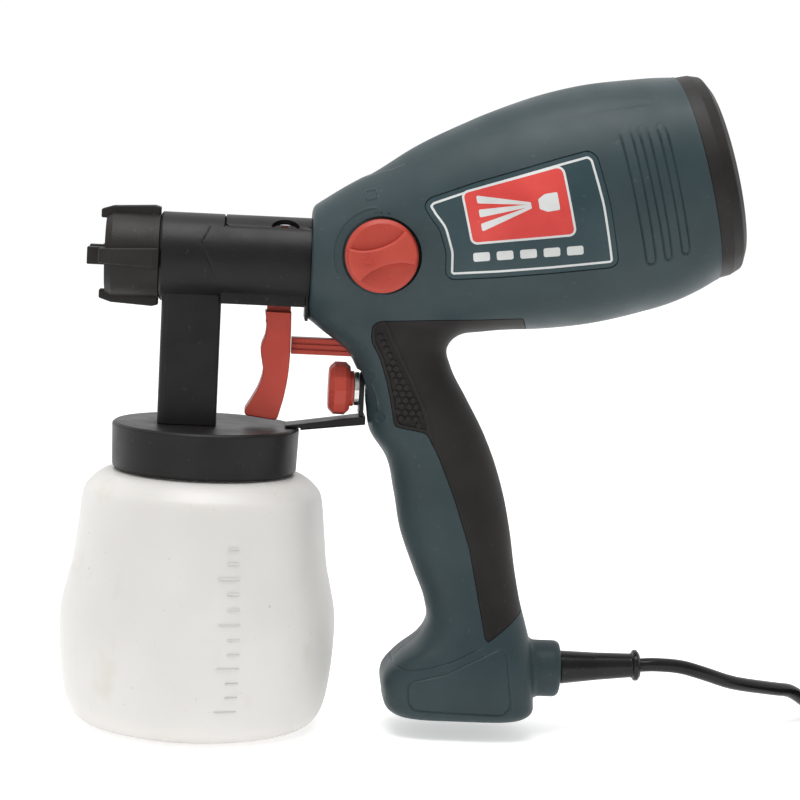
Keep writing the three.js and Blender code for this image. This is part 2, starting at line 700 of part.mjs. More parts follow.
function flowSpindle() {
  return rod(2, 50.8, 63, new THREE.Vector3(0, 0, FLOW_Z), X, FINE);
}

function trigger() {
  const outline = new THREE.Shape();
  outline.moveTo(22.2, 178);
  outline.lineTo(22.9, 170.7);
  outline.quadraticCurveTo(23.4, 165, 21.9, 161.4);
  outline.quadraticCurveTo(21.4, 158.5, 21.8, 155.5);
  outline.quadraticCurveTo(23.6, 149, 21.4, 144.6);
  outline.quadraticCurveTo(19.2, 138.6, 15.4, 133.2);
  outline.quadraticCurveTo(14.6, 131.4, 17, 131.1);
  outline.lineTo(29, 129.6);
  outline.quadraticCurveTo(32.6, 143, 33.5, 152);
  outline.quadraticCurveTo(34, 160, 33.4, 178);
  outline.closePath();
  const lever = slab(outline, -7.5, 7.5).intersect(block(0, 60, -10, 10, 120, 174.8));
  const neck = slab(outline, -4.4, 4.4);
  const shank = slab([[23, 172], [33.4, 172], [33.4, 204], [32.4, 206], [26.2, 206], [24.2, 192]], -4, 4);
  const eye = rod(4.2, -4, 4, new THREE.Vector3(PIVOT.x, 0, PIVOT.z), Y, FINE);
  const pinHole = rod(2.3, -6, 6, new THREE.Vector3(PIVOT.x, 0, PIVOT.z), Y, FINE);
  const needleHole = rod(3.3, 15, 45, ON_AXIS, X, FINE);
  return cut(union(lever, neck, shank, eye), pinHole, needleHole);
}

function triggerPin() {
  return rod(2, -13, 13, new THREE.Vector3(PIVOT.x, 0, PIVOT.z), Y, 10);
}

function needle() {
  return turned([
    [0, -45.6], [1, -45.4], [1, -41.6], [1.6, -40], [1.6, 34.9], [3.9, 34.9], [3.9, 37.4],
    [1.6, 37.4], [1.6, 44], [0, 44],
  ], ON_AXIS, X, 12);
}

function needlePacking() {
  return ring(4.6, 1.6 + GAP, 5.3, 12, ON_AXIS, X, FINE);
}

// One closed helix of round wire between the needle's collar and the spring seat.
const SPRING = { from: 38.4, to: 51.2, radius: 4.4, wire: 0.55, turns: 4 };

class Helix extends THREE.Curve {
  getPoint(t, target = new THREE.Vector3()) {
    const turn = 2 * Math.PI * SPRING.turns * t;
    const along = SPRING.from + (SPRING.to - SPRING.from) * t;
    return target.set(along, SPRING.radius * Math.cos(turn), BARREL_Z + SPRING.radius * Math.sin(turn));
  }
}

function needleSpring() {
  return bar(new Helix(), SPRING.wire, SPRING.turns * 10, 6);
}

function springSeat() {
  return turned([
    [1.6 + 2 * GAP, 52.2], [11.3, 52.2], [11.3, 55], [1.6 + 2 * GAP, 55],
  ], ON_AXIS, X, 24);
}

function barrelSeal() {
  const middle = 15.15;
  const radius = 1.2;
  const profile = Array.from({ length: 6 }, (_, k) => {
    const turn = (2 * Math.PI * k) / 6;
    return [middle + radius * Math.cos(turn), 56 + radius * Math.sin(turn)];
  });
  return turned(profile, ON_AXIS, X, 24);
}

function fluidNozzle() {
  return turned([
    [1.3, -46.2], [2.3, -46.2], [2.6, -43.5], [6.4, -31], [8.6, -30.4], [8.6, -26.3],
    [4.5, -26.3], [4.5, -17.3], [2.6, -17.3], [2.6, -40.6], [1.3, -42.6],
  ], ON_AXIS, X, 16);
}

function airCap() {
  const cap = turned([
    [3.2, -43.8], [12.6, -43.8], [12.6, -41.5], [14.8, -41.5], [14.8, -36], [12.6, -36],
    [12.6, -40.4], [3.8, -41.9],
  ], ON_AXIS, X, 28);
  const horns = [-11.8, 6.8].map((y) => block(-51.5, -43, y, y + 5, BARREL_Z - 4.1, BARREL_Z + 3.1));
  return union(cap, ...horns);
}

function capSeal() {
  return ring(14.5, 10, -35.7, -34.2, ON_AXIS, X, 28);
}

function unionNut() {
  const body = turned([
    [12.9, -44.2], [16.2, -44.2], [17.6, -41.5], [17.6, -22], [15.1, -22], [15.1, -41.8], [12.9, -41.8],
  ], ON_AXIS, X, 32);
  const profile = [
    [-22, 16.5], [-22, 20.2], [-24.4, 20.9], [-41.6, 20], [-46.6, 18.4],
    [-46.6, 14.8], [-43.6, 14.8], [-43.6, 16.5],
  ];
  const wings = Array.from({ length: 4 }, (_, k) => {
    const geometry = new THREE.ExtrudeGeometry(shapeOf(profile), { depth: 7, bevelEnabled: false });
    geometry.rotateX(Math.PI / 2);
    geometry.translate(0, 3.5, 0);
    geometry.rotateX((Math.PI * k) / 2);
    geometry.translate(0, 0, BARREL_Z);
    return solid(geometry);
  });
  return union(body, ...wings);
}

// ---------------------------------------------------------------- cup
function pickupTube() {
  const at = new THREE.Vector3(STEM_X, 0, 0);
  return turned([[2.4, 6], [3.6, 6], [3.6, 126.2], [2.4, 126.2]], at, Z, FINE);
}

function cupGasket() {
  return ring(35.4, 31, 121.8, 122.5, new THREE.Vector3(), Z);
}

function paintCup() {
  return turned([
    [0, 0], [43.5, 0], [49.8, 2.4], [54, 8.5], [56.4, 20], [57.7, 36], [57.6, 48],
    [55.3, 59.5], [53.2, 69], [51.6, 83], [50, 96.2], [47.4, 101.2],
    [42, 105.3], [35.6, 106.8], [35.6, 121.5], [33.4, 121.5], [33.4, 105.2],
    [41.5, 102.6], [47.6, 95.5], [49.5, 82], [51.4, 67], [55, 50],
    [55.4, 36], [53.8, 19], [50.5, 8], [42.5, 2.4], [0, 2.4],
  ], new THREE.Vector3(), Z, 28);
}

// ---------------------------------------------------------------- finishes and assembly
const FINISH = {
  teal: [0x384649, 0.5, 0],
  black: [0x2b2929, 0.5, 0],
  rubber: [0x302c2a, 0.85, 0],
  red: [0xa8352c, 0.4, 0],
  cup: [0xe4e0da, 0.35, 0],
  steel: [0xb9bcc0, 0.3, 1],
  brass: [0xb08d4a, 0.35, 1],
  copper: [0x9a5a3a, 0.4, 1],
  foam: [0x55585a, 0.95, 0],
  label: [0xc8cac9, 0.4, 0],
  cord: [0x111112, 0.3, 0],
  seal: [0x1b1b1b, 0.7, 0],
};

const PIECES = [
  ['housing_left', housingLeft(), 'teal'],
  ['housing_right', housingRight(), 'teal'],
  ['grip_left', gripLeft(), 'rubber'],
  ['grip_right', gripRight(), 'rubber'],
  ['side_label', sideLabel(), 'label'],
  ['rear_cover', rearCover(), 'black'],
  ['air_filter', airFilter(), 'foam'],
  ['motor_stator', motorStator(), 'copper'],
  ['motor_rotor', motorRotor(), 'steel'],
  ['bearing_front', bearing(-111), 'steel'],
  ['bearing_rear', bearing(-37), 'steel'],
  ['brush_holder_left', brushHolder(-1), 'brass'],
  ['brush_holder_right', brushHolder(1), 'brass'],
  ['turbine_fan', turbineFan(), 'black'],
  ['fan_shroud', fanShroud(), 'black'],
  ['air_duct', airDuct(), 'black'],
  ['barrel_socket', barrelSocket(), 'black'],
  ['power_switch', powerSwitch(), 'black'],
  ['switch_lead', switchLead(), 'cord'],
  ['cable_clamp', cableClamp(), 'black'],
  ['switch_rod', switchRod(), 'red'],
  ['lock_knob', lockKnob(), 'red'],
  ['lock_cam', lockCam(), 'black'],
  ['strain_relief', strainRelief(), 'cord'],
  ['power_cord', powerCord(), 'cord'],
  ['cord_coil', cordCoil(), 'cord'],
  ['cord_tail', cordTail(), 'cord'],
  ['power_plug', powerPlug(), 'cord'],
  ['barrel', barrel(), 'black'],
  ['stem', stem(), 'black'],
  ['cup_lid', cupLid(), 'black'],
  ['support_arm', supportArm(), 'black'],
  ['flow_bracket', flowBracket(), 'black'],
  ['spindle_washer', spindleWasher(), 'steel'],
  ['flow_knob', flowKnob(), 'red'],
  ['flow_spindle', flowSpindle(), 'steel'],
  ['trigger', trigger(), 'red'],
  ['trigger_pin', triggerPin(), 'steel'],
  ['needle', needle(), 'steel'],
  ['needle_packing', needlePacking(), 'seal'],
  ['needle_spring', needleSpring(), 'steel'],
  ['spring_seat', springSeat(), 'black'],
  ['barrel_seal', barrelSeal(), 'seal'],
  ['fluid_nozzle', fluidNozzle(), 'steel'],
  ['air_cap', airCap(), 'black'],
  ['cap_seal', capSeal(), 'seal'],
  ['union_nut', unionNut(), 'black'],
  ['pickup_tube', pickupTube(), 'black'],
  ['cup_gasket', cupGasket(), 'seal'],
  ['paint_cup', paintCup(), 'cup'],
  ...SCREWS.map((point, k) => [`housing_screw_${k + 1}`, housingScrew(point), 'steel']),
];

function pieceMesh([name, shape, finish]) {
  const { vertProperties, triVerts } = shape.getMesh();
  const geometry = new THREE.BufferGeometry();
  geometry.setAttribute('position', new THREE.Float32BufferAttribute(vertProperties, 3));
  geometry.setIndex(new THREE.Uint32BufferAttribute(triVerts, 1));
  geometry.computeVertexNormals();
  const [color, roughness, metalness] = FINISH[finish];
  const mesh = new THREE.Mesh(geometry, new THREE.MeshStandardMaterial({ color, roughness, metalness }));
  mesh.name = name;
  return mesh;
}

const gun = new THREE.Group();
gun.name = 'turbine_spray_gun';
PIECES.forEach((piece) => gun.add(pieceMesh(piece)));

export default gun;
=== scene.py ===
"""Looks of an electric turbine spray gun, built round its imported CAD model.

Shapes are worked out in millimetres in the row frame: +Z is up, the nozzle points along -X and the
gun's left side faces -Y. Each mesh is scaled to metres as it is made.
"""

import math

import bpy
import numpy as np
from mathutils import Matrix, Vector
from mathutils.geometry import tessellate_polygon


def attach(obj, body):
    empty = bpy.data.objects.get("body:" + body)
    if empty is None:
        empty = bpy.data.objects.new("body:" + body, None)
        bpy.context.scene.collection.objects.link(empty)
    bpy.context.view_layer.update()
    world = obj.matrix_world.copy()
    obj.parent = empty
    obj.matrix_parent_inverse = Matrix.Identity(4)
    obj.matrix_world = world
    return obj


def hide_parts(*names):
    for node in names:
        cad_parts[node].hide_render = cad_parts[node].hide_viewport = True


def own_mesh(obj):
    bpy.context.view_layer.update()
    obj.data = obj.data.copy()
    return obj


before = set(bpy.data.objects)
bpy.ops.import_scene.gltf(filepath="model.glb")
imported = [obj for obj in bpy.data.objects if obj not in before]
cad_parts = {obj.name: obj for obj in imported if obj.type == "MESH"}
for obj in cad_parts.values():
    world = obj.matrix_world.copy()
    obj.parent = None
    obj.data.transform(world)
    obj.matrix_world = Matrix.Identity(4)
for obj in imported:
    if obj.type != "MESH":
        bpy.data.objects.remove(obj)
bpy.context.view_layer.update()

# ---------------------------------------------------------------- driving dimensions
MM = 0.001
BARREL_Z = 195.5
BARREL_R = 18.5
LID_TOP = 126.4
PIVOT = (29.3, 206.0)
FLOW_Z = 143.6
LOCK = (68.7, 201.2)
LOCK_R = 15.0
CABLE_Z = 27.4
HOUSING_FRONT = 40.5
SPLIT = 0.15  # half of the joint between the two shells
GAP = 0.3

TURBINE = np.array((198.9, 0.0, 238.0))
TILT = math.radians(15.5)
TURBINE_AXIS = np.array((math.cos(TILT), 0.0, math.sin(TILT)))
TURBINE_UP = np.array((-math.sin(TILT), 0.0, math.cos(TILT)))

X = np.array((1.0, 0.0, 0.0))
Y = np.array((0.0, 1.0, 0.0))
Z = np.array((0.0, 0.0, 1.0))


# ---------------------------------------------------------------- camera and light
def camera():
    """A long lens a metre away, a little above the gun and tipped a few degrees."""
    target = np.array((80.78, 0.0, 139.59))
    distance = 1092.0
    turn, pitch, roll = (math.radians(angle) for angle in (-3.7, 6.4, 2.9))
    back = np.array((
        math.sin(turn) * math.cos(pitch), -math.cos(turn) * math.cos(pitch), math.sin(pitch),
    ))
    side = np.array((math.cos(turn), math.sin(turn), 0.0))
    up = np.cross(back, side)
    rolled_side = side * math.cos(roll) + up * math.sin(roll)
    rolled_up = up * math.cos(roll) - side * math.sin(roll)
    data = bpy.data.cameras.new("camera")
    data.lens = 117.0
    data.sensor_width = 36.0
    data.clip_start = 0.05
    data.clip_end = 50.0
    holder = bpy.data.objects.new("camera", data)
    bpy.context.scene.collection.objects.link(holder)
    eye = (target + back * distance) * MM
    axes = np.column_stack((rolled_side, rolled_up, back, eye))
    holder.matrix_world = Matrix([*axes.tolist(), (0, 0, 0, 1)])
    bpy.context.scene.camera = holder


def softbox(name, spot, aim, width, watts):
    data = bpy.data.lights.new(name, "AREA")
    data.shape = "SQUARE"
    data.size = width
    data.energy = watts
    lamp = bpy.data.objects.new(name, data)
    bpy.context.scene.collection.objects.link(lamp)
    lamp.location = spot
    lamp.rotation_euler = (Vector(aim) - Vector(spot)).to_track_quat("-Z", "Y").to_euler()


def studio():
    """White surroundings, dimmer behind the camera, a large top light and a weak front fill."""
    world = bpy.data.worlds.new("studio")
    world.use_nodes = True
    sky = world.node_tree.nodes["Background"]
    sky.inputs["Color"].default_value = (1.0, 1.0, 1.0, 1.0)
    nodes, links = world.node_tree.nodes, world.node_tree.links
    direction = nodes.new("ShaderNodeSeparateXYZ")
    links.new(nodes.new("ShaderNodeTexCoord").outputs["Generated"], direction.inputs["Vector"])
    dimmed = nodes.new("ShaderNodeMapRange")
    for name, value in (("From Min", -0.6), ("From Max", 0.3), ("To Min", 0.36), ("To Max", 1.04)):
        dimmed.inputs[name].default_value = value
    links.new(direction.outputs["Y"], dimmed.inputs["Value"])
    links.new(dimmed.outputs["Result"], sky.inputs["Strength"])
    bpy.context.scene.world = world
    softbox("top_light", (0.0, -0.25, 1.1), (0.08, 0.0, 0.15), 0.7, 9.0)
    softbox("front_fill", (-0.7, -1.2, 0.5), (0.08, 0.0, 0.12), 0.8, 2.0)
    bpy.context.scene.view_settings.view_transform = "Standard"


# ---------------------------------------------------------------- small mathematics
def unit(vector):
    vector = np.asarray(vector, float)
    return vector / np.linalg.norm(vector)


def turbine_point(along, up=0.0, y=0.0):
    return TURBINE + TURBINE_AXIS * along + TURBINE_UP * up + Y * y


def curve(at, knots, values):
    """Smooth curve through (knots, values), read at `at` and held level beyond its ends."""
    knots = np.asarray(knots, float)
    values = np.asarray(values, float)
    slopes = np.gradient(values, knots)
    k = np.clip(np.searchsorted(knots, at) - 1, 0, len(knots) - 2)
    width = knots[k + 1] - knots[k]
    t = np.clip((at - knots[k]) / width, 0.0, 1.0)
    start = values[k] * (1 + 2 * t) * (1 - t) ** 2 + slopes[k] * width * t * (1 - t) ** 2
    end = values[k + 1] * t * t * (3 - 2 * t) + slopes[k + 1] * width * t * t * (t - 1)
    return start + end


def merged(a, b, radius):
    """Smaller of two fields, with a fillet of about this radius where they meet."""
    near = np.maximum(radius - np.abs(a - b), 0.0) / radius
    return np.minimum(a, b) - near * near * radius / 4


def clipped(a, b, radius):
    """Larger of two fields, with a rounded edge of about this radius where they meet."""
    return -merged(-a, -b, radius)


def rounded(corners, steps=6):
    """Closed outline from corners (a, b) or (a, b, radius); corners with a radius become arcs."""
    outline = []
    for k, (a, b, *radius) in enumerate(corners):
        here = np.array((a, b), float)
        if not radius:
            outline.append(here)
            continue
        before = np.array(corners[k - 1][:2], float) - here
        after = np.array(corners[(k + 1) % len(corners)][:2], float) - here
        half = math.acos(np.clip(unit(before) @ unit(after), -1, 1)) / 2
        reach = min(radius[0] / math.tan(half), 0.49 * np.linalg.norm(before), 0.49 * np.linalg.norm(after))
        centre = here + unit(unit(before) + unit(after)) * reach / math.cos(half)
        first = here + unit(before) * reach - centre
        last = here + unit(after) * reach - centre
        sweep = math.pi - 2 * half
        for t in np.linspace(0, 1, steps + 1):
            arm = first * math.sin((1 - t) * sweep) + last * math.sin(t * sweep)
            outline.append(centre + arm / math.sin(sweep))
    return np.array(outline)


def spline(points, steps=8, closed=False):
    """Catmull-Rom curve through the points, as a finer row of points."""
    points = np.asarray(points, float)
    count = len(points)
    if closed:
        padded = np.vstack((points[-1:], points, points[:2]))
    else:
        padded = np.vstack((2 * points[0] - points[1], points, 2 * points[-1] - points[-2]))
    fine = []
    for k in range(count if closed else count - 1):
        a, b, c, d = padded[k : k + 4]
        for t in np.linspace(0, 1, steps, endpoint=False):
            square = (2 * a - 5 * b + 4 * c - d) * t * t
            cube = (3 * b - a - 3 * c + d) * t ** 3
            fine.append(0.5 * (2 * b + (c - a) * t + square + cube))
    if not closed:
        fine.append(points[-1])
    return np.array(fine)


def inset(outline, amount):
    """The closed outline moved inwards by amount."""
    after = np.roll(outline, -1, axis=0) - outline
    area = np.sum(outline[:, 0] * np.roll(outline[:, 1], -1) - outline[:, 1] * np.roll(outline[:, 0], -1))
    normal = np.column_stack((-after[:, 1], after[:, 0])) * np.sign(area)
    normal /= np.maximum(np.linalg.norm(normal, axis=1, keepdims=True), 1e-9)
    before = np.roll(normal, 1, axis=0)
    along = np.maximum(1 + np.sum(before * normal, axis=1, keepdims=True), 0.4)
    return outline + (before + normal) * amount / along


def outline_distance(points, outline):
    """Distance of 2-D points from a closed outline, negative inside it."""
    best = np.full(len(points), np.inf)
    inside = np.zeros(len(points), bool)
    for a, b in zip(outline, np.roll(outline, -1, axis=0)):
        edge = b - a
        away = points - a
        share = np.clip(away @ edge / max(edge @ edge, 1e-12), 0, 1)
        best = np.minimum(best, np.linalg.norm(away - share[:, None] * edge, axis=1))
        crosses = (a[1] > points[:, 1]) != (b[1] > points[:, 1])
        rise = edge[1] if abs(edge[1]) > 1e-12 else 1e-12
        inside ^= crosses & (points[:, 0] < a[0] + (points[:, 1] - a[1]) * edge[0] / rise)
    return np.where(inside, -best, best)


def line_distance(points, line):
    """Distance of 2-D points from an open row of segments."""
    best = np.full(len(points), np.inf)
    for a, b in zip(line, line[1:]):
        edge = np.asarray(b, float) - a
        away = points - a
        share = np.clip(away @ edge / (edge @ edge), 0, 1)
        best = np.minimum(best, np.linalg.norm(away - share[:, None] * edge, axis=1))
    return best


def side_view(points):
    return points[:, [0, 2]]


# ---------------------------------------------------------------- skins
SLIDE = 0.22  # share of an edge over which a loose point slides onto a new edge line


class Skin:
    """A triangle mesh in millimetres, with a finish number for each triangle."""

    def __init__(self, points, triangles, finish=0):
        self.points = np.asarray(points, float)
        self.triangles = np.asarray(triangles, int)
        self.finish = np.full(len(self.triangles), finish)
        self.fixed = np.zeros(len(self.points), bool)

    def part(self, mask):
        """The masked triangles as a skin of their own."""
        used, numbers = np.unique(self.triangles[mask], return_inverse=True)
        piece = Skin(self.points[used], numbers.reshape(-1, 3))
        piece.finish = self.finish[mask]
        piece.fixed = self.fixed[used]
        return piece

    def add_triangles(self, triangles, finish=0):
        self.triangles = np.vstack((self.triangles, triangles))
        self.finish = np.append(self.finish, np.full(len(triangles), finish))

    def add_points(self, points, fixed=True):
        first = len(self.points)
        self.points = np.vstack((self.points, points))
        self.fixed = np.append(self.fixed, np.full(len(points), fixed))
        return first + np.arange(len(points))

    def where(self, value_of):
        """Marks the triangles on the negative side of value_of."""
        return value_of(self.points)[self.triangles].mean(axis=1) < 0

    def normals(self):
        corner = self.points[self.triangles]
        face = np.cross(corner[:, 1] - corner[:, 0], corner[:, 2] - corner[:, 0])
        total = np.zeros_like(self.points)
        for k in range(3):
            np.add.at(total, self.triangles[:, k], face)
        return total / np.maximum(np.linalg.norm(total, axis=1, keepdims=True), 1e-12)

    def border(self, mask):
        """Directed edges that bound the masked triangles."""
        ends = self.triangles[mask][:, [[0, 1], [1, 2], [2, 0]]].reshape(-1, 2)
        forward = ends[:, 0] * len(self.points) + ends[:, 1]
        backward = ends[:, 1] * len(self.points) + ends[:, 0]
        return ends[~np.isin(backward, forward)]

    def split(self, value_of):
        """Adds an edge line where value_of is zero."""
        value = value_of(self.points)
        pairs = np.sort(self.triangles[:, [[0, 1], [1, 2], [2, 0]]], axis=2).reshape(-1, 2)
        keys, which = np.unique(pairs[:, 0] * len(self.points) + pairs[:, 1], return_inverse=True)
        ends = np.column_stack((keys // len(self.points), keys % len(self.points)))
        a, b = value[ends[:, 0]], value[ends[:, 1]]
        crossing = a * b < 0
        share = np.where(crossing, a / np.where(crossing, a - b, 1.0), 0.5)
        spot = self.points[ends[:, 0]] * (1 - share[:, None]) + self.points[ends[:, 1]] * share[:, None]
        for end, near in ((0, share < SLIDE), (1, share > 1 - SLIDE)):
            chosen = crossing & near & ~self.fixed[ends[:, end]]
            self.points[ends[chosen, end]] = spot[chosen]
            value[ends[chosen, end]] = 0.0
            self.fixed[ends[chosen, end]] = True
        a, b = value[ends[:, 0]], value[ends[:, 1]]
        crossing = a * b < 0
        share = np.where(crossing, a / np.where(crossing, a - b, 1.0), 0.5)[:, None]
        spot = self.points[ends[:, 0]] * (1 - share) + self.points[ends[:, 1]] * share
        number = np.full(len(ends), -1)
        number[crossing] = self.add_points(spot[crossing])
        middle = number[which].reshape(-1, 3)
        cut = middle >= 0
        cuts = cut.sum(axis=1)
        rows, finishes = [self.triangles[cuts == 0]], [self.finish[cuts == 0]]
        for total in (1, 2):
            chosen = np.flatnonzero(cuts == total)
            if not len(chosen):
                continue
            odd = cut[chosen] if total == 1 else ~cut[chosen]
            lead = (np.argmax(odd, axis=1) + (0 if total == 1 else 2)) % 3
            order = (lead[:, None] + np.arange(3)) % 3
            corner = np.take_along_axis(self.triangles[chosen], order, axis=1).T
            m, _, n = np.take_along_axis(middle[chosen], order, axis=1).T
            if total == 1:
                parts = [(corner[0], m, corner[2]), (m, corner[1], corner[2])]
            else:
                parts = [(corner[0], m, n), (m, corner[1], corner[2]), (m, corner[2], n)]
            rows += [np.column_stack(part) for part in parts]
            finishes += [self.finish[chosen]] * len(parts)
        self.triangles = np.vstack(rows)
        self.finish = np.concatenate(finishes)

    def refine(self):
        """Divides every triangle into four."""
        ends = self.triangles[:, [[0, 1], [1, 2], [2, 0]]].reshape(-1, 2)
        low, high = np.sort(ends, axis=1).T
        keys, which = np.unique(low * len(self.points) + high, return_inverse=True)
        low, high = keys // len(self.points), keys % len(self.points)
        middle = self.add_points((self.points[low] + self.points[high]) / 2, False)[which].reshape(-1, 3)
        a, b, c = self.triangles.T
        ab, bc, ca = middle.T
        parts = [(a, ab, ca), (ab, b, bc), (ca, bc, c), (ab, bc, ca)]
        self.triangles = np.vstack([np.column_stack(part) for part in parts])
        self.finish = np.tile(self.finish, 4)

    def trim(self, value_of):
        """Keeps the negative side of value_of, with a clean edge."""
        self.split(value_of)
        return self.part(self.where(value_of))

    def sink(self, mask, move, finish=None):
        """Moves the masked triangles as move(points, normals) says and walls in the step."""
        shared = np.intersect1d(self.triangles[mask], self.triangles[~mask])
        edges = self.border(mask)
        edges = edges[np.isin(edges, shared).all(axis=1)]
        normal = self.normals()
        number = np.arange(len(self.points))
        number[shared] = self.add_points(self.points[shared])
        self.triangles[mask] = number[self.triangles[mask]]
        source = np.unique(self.triangles[mask])
        origin = np.arange(len(self.points))
        origin[number[shared]] = shared
        self.points[source] = move(self.points[source], normal[origin[source]])
        if finish is not None:
            self.finish[mask] = finish
        a, b = edges.T
        self.add_triangles(np.vstack((
            np.column_stack((a, b, number[b])), np.column_stack((a, number[b], number[a])),
        )))

    def press(self, depth_of):
        """Moves every point inwards along its normal by depth_of(points)."""
        self.points -= self.normals() * depth_of(self.points)[:, None]

    def thicken(self, depth):
        """Closes the open skin into a shell of this wall thickness."""
        edges = self.border(np.ones(len(self.triangles), bool))
        count = len(self.points)
        back = self.triangles[:, ::-1] + count
        self.add_points(self.points - self.normals() * depth)
        a, b = edges.T
        self.add_triangles(np.vstack((
            back, np.column_stack((b, a, a + count)), np.column_stack((b, a + count, b + count)),
        )))


def joined(*skins):
    points, triangles, finish = [], [], []
    count = 0
    for skin in skins:
        points.append(skin.points)
        triangles.append(skin.triangles + count)
        finish.append(skin.finish)
        count += len(skin.points)
    whole = Skin(np.vstack(points), np.vstack(triangles))
    whole.finish = np.concatenate(finish)
    return whole


def outward(skin, middle=(0, 0, 0)):
    """Turns the triangles so that they face away from the middle."""
    corner = skin.points[skin.triangles] - np.asarray(middle, float)
    if np.sum(np.cross(corner[:, 0], corner[:, 1]) * corner[:, 2]) < 0:
        skin.triangles = skin.triangles[:, ::-1]
    return skin


def turned(profile, origin, axis, sides=96, closed=True):
    """Body of revolution from (radius, distance along the axis); unclosed, it is an open skin."""
    axis = unit(axis)
    across = unit(np.cross(axis, Y if abs(axis[1]) < 0.9 else X))
    turn = np.linspace(0, 2 * math.pi, sides, endpoint=False)[:, None]
    circle = np.cos(turn) * across + np.sin(turn) * np.cross(axis, across)
    points, rows = [], []
    for radius, along in profile:
        centre = np.asarray(origin, float) + axis * along
        ring = centre + radius * circle if radius > 1e-6 else centre[None]
        rows.append(len(points) + (np.arange(sides) if len(ring) > 1 else np.zeros(sides, int)))
        points.extend(ring)
    triangles = []
    for low, high in zip(rows, rows[1:] + rows[:1] if closed else rows[1:]):
        a, b, c, d = low, np.roll(low, -1), high, np.roll(high, -1)
        triangles += [np.column_stack((a, b, d)), np.column_stack((a, d, c))]
    triangles = np.vstack(triangles)
    a, b, c = triangles.T
    return outward(Skin(points, triangles[(a != b) & (b != c) & (a != c)]), origin)


def lofted(rings):
    """Closed solid through equal-length rings of points, capped flat at both ends."""
    count = len(rings[0])
    points = np.vstack(rings)
    step = np.arange(count)
    after = np.roll(step, -1)
    triangles = []
    for row in range(len(rings) - 1):
        low, high = row * count, (row + 1) * count
        triangles += [
            np.column_stack((low + step, low + after, high + after)),
            np.column_stack((low + step, high + after, high + step)),
        ]
    for ring, first, flip in ((rings[0], 0, True), (rings[-1], len(points) - count, False)):
        middle = ring.mean(axis=0)
        normal = unit(np.sum(np.cross(ring - middle, np.roll(ring, -1, axis=0) - middle), axis=0))
        side = unit(np.cross(normal, Y if abs(normal[1]) < 0.9 else X))
        flat = np.column_stack(((ring - middle) @ side, (ring - middle) @ np.cross(normal, side)))
        cap = np.array(tessellate_polygon([[Vector((a, b, 0)) for a, b in flat]])) + first
        corner = points[cap]
        facing = np.sum(np.cross(corner[:, 1] - corner[:, 0], corner[:, 2] - corner[:, 0]) @ normal)
        triangles.append(cap[:, ::-1] if (facing > 0) == flip else cap)
    return outward(Skin(points, np.vstack(triangles)))


def prism(outline, low, high, place, rim=0.5):
    """Solid from a closed outline of (a, b) pairs between two depths, with rounded rims."""
    turn = np.linspace(0, math.pi / 2, 4)
    drop = [(rim * (1 - math.sin(t)), rim * (1 - math.cos(t))) for t in turn]
    levels = [(back, low + depth) for back, depth in drop]
    levels += [(back, high - depth) for back, depth in reversed(drop)]
    return lofted([
        np.array([place(a, b, depth) for a, b in inset(outline, back)]) for back, depth in levels
    ])


def tube(path, radius, sides=16):
    """Round bar along a row of points."""
    path = np.asarray(path, float)
    along = np.gradient(path, axis=0)
    side = unit(np.cross(along[0], Z if abs(unit(along[0])[2]) < 0.9 else X))
    turn = np.linspace(0, 2 * math.pi, sides, endpoint=False)[:, None]
    rings = []
    for here, ahead in zip(path, along):
        ahead = unit(ahead)
        side = unit(side - ahead * (side @ ahead))
        rings.append(here + radius * (np.cos(turn) * side + np.sin(turn) * np.cross(ahead, side)))
    return lofted(rings)


def along_y(a, b, depth):
    return (a, depth, b)


def piece(name, skin, body, slot, finishes, replaces=(), sharp=32):
    """Makes the skin a piece of the scene that rides on a body and stands for CAD nodes."""
    mesh = bpy.data.meshes.new(name)
    mesh.from_pydata((skin.points * MM).tolist(), [], skin.triangles.tolist())
    for finish in finishes:
        mesh.materials.append(finish)
    mesh.polygons.foreach_set("material_index", skin.finish.astype(np.int32))
    mesh.polygons.foreach_set("use_smooth", np.ones(len(skin.triangles), bool))
    mesh.set_sharp_from_angle(angle=math.radians(sharp))
    mesh.update()
    made = bpy.data.objects.new(name, mesh)
    bpy.context.scene.collection.objects.link(made)
    made.modifiers.new("even_shading", "WEIGHTED_NORMAL").keep_sharp = True
    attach(made, body)
    if replaces:
        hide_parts(*replaces)
    return made


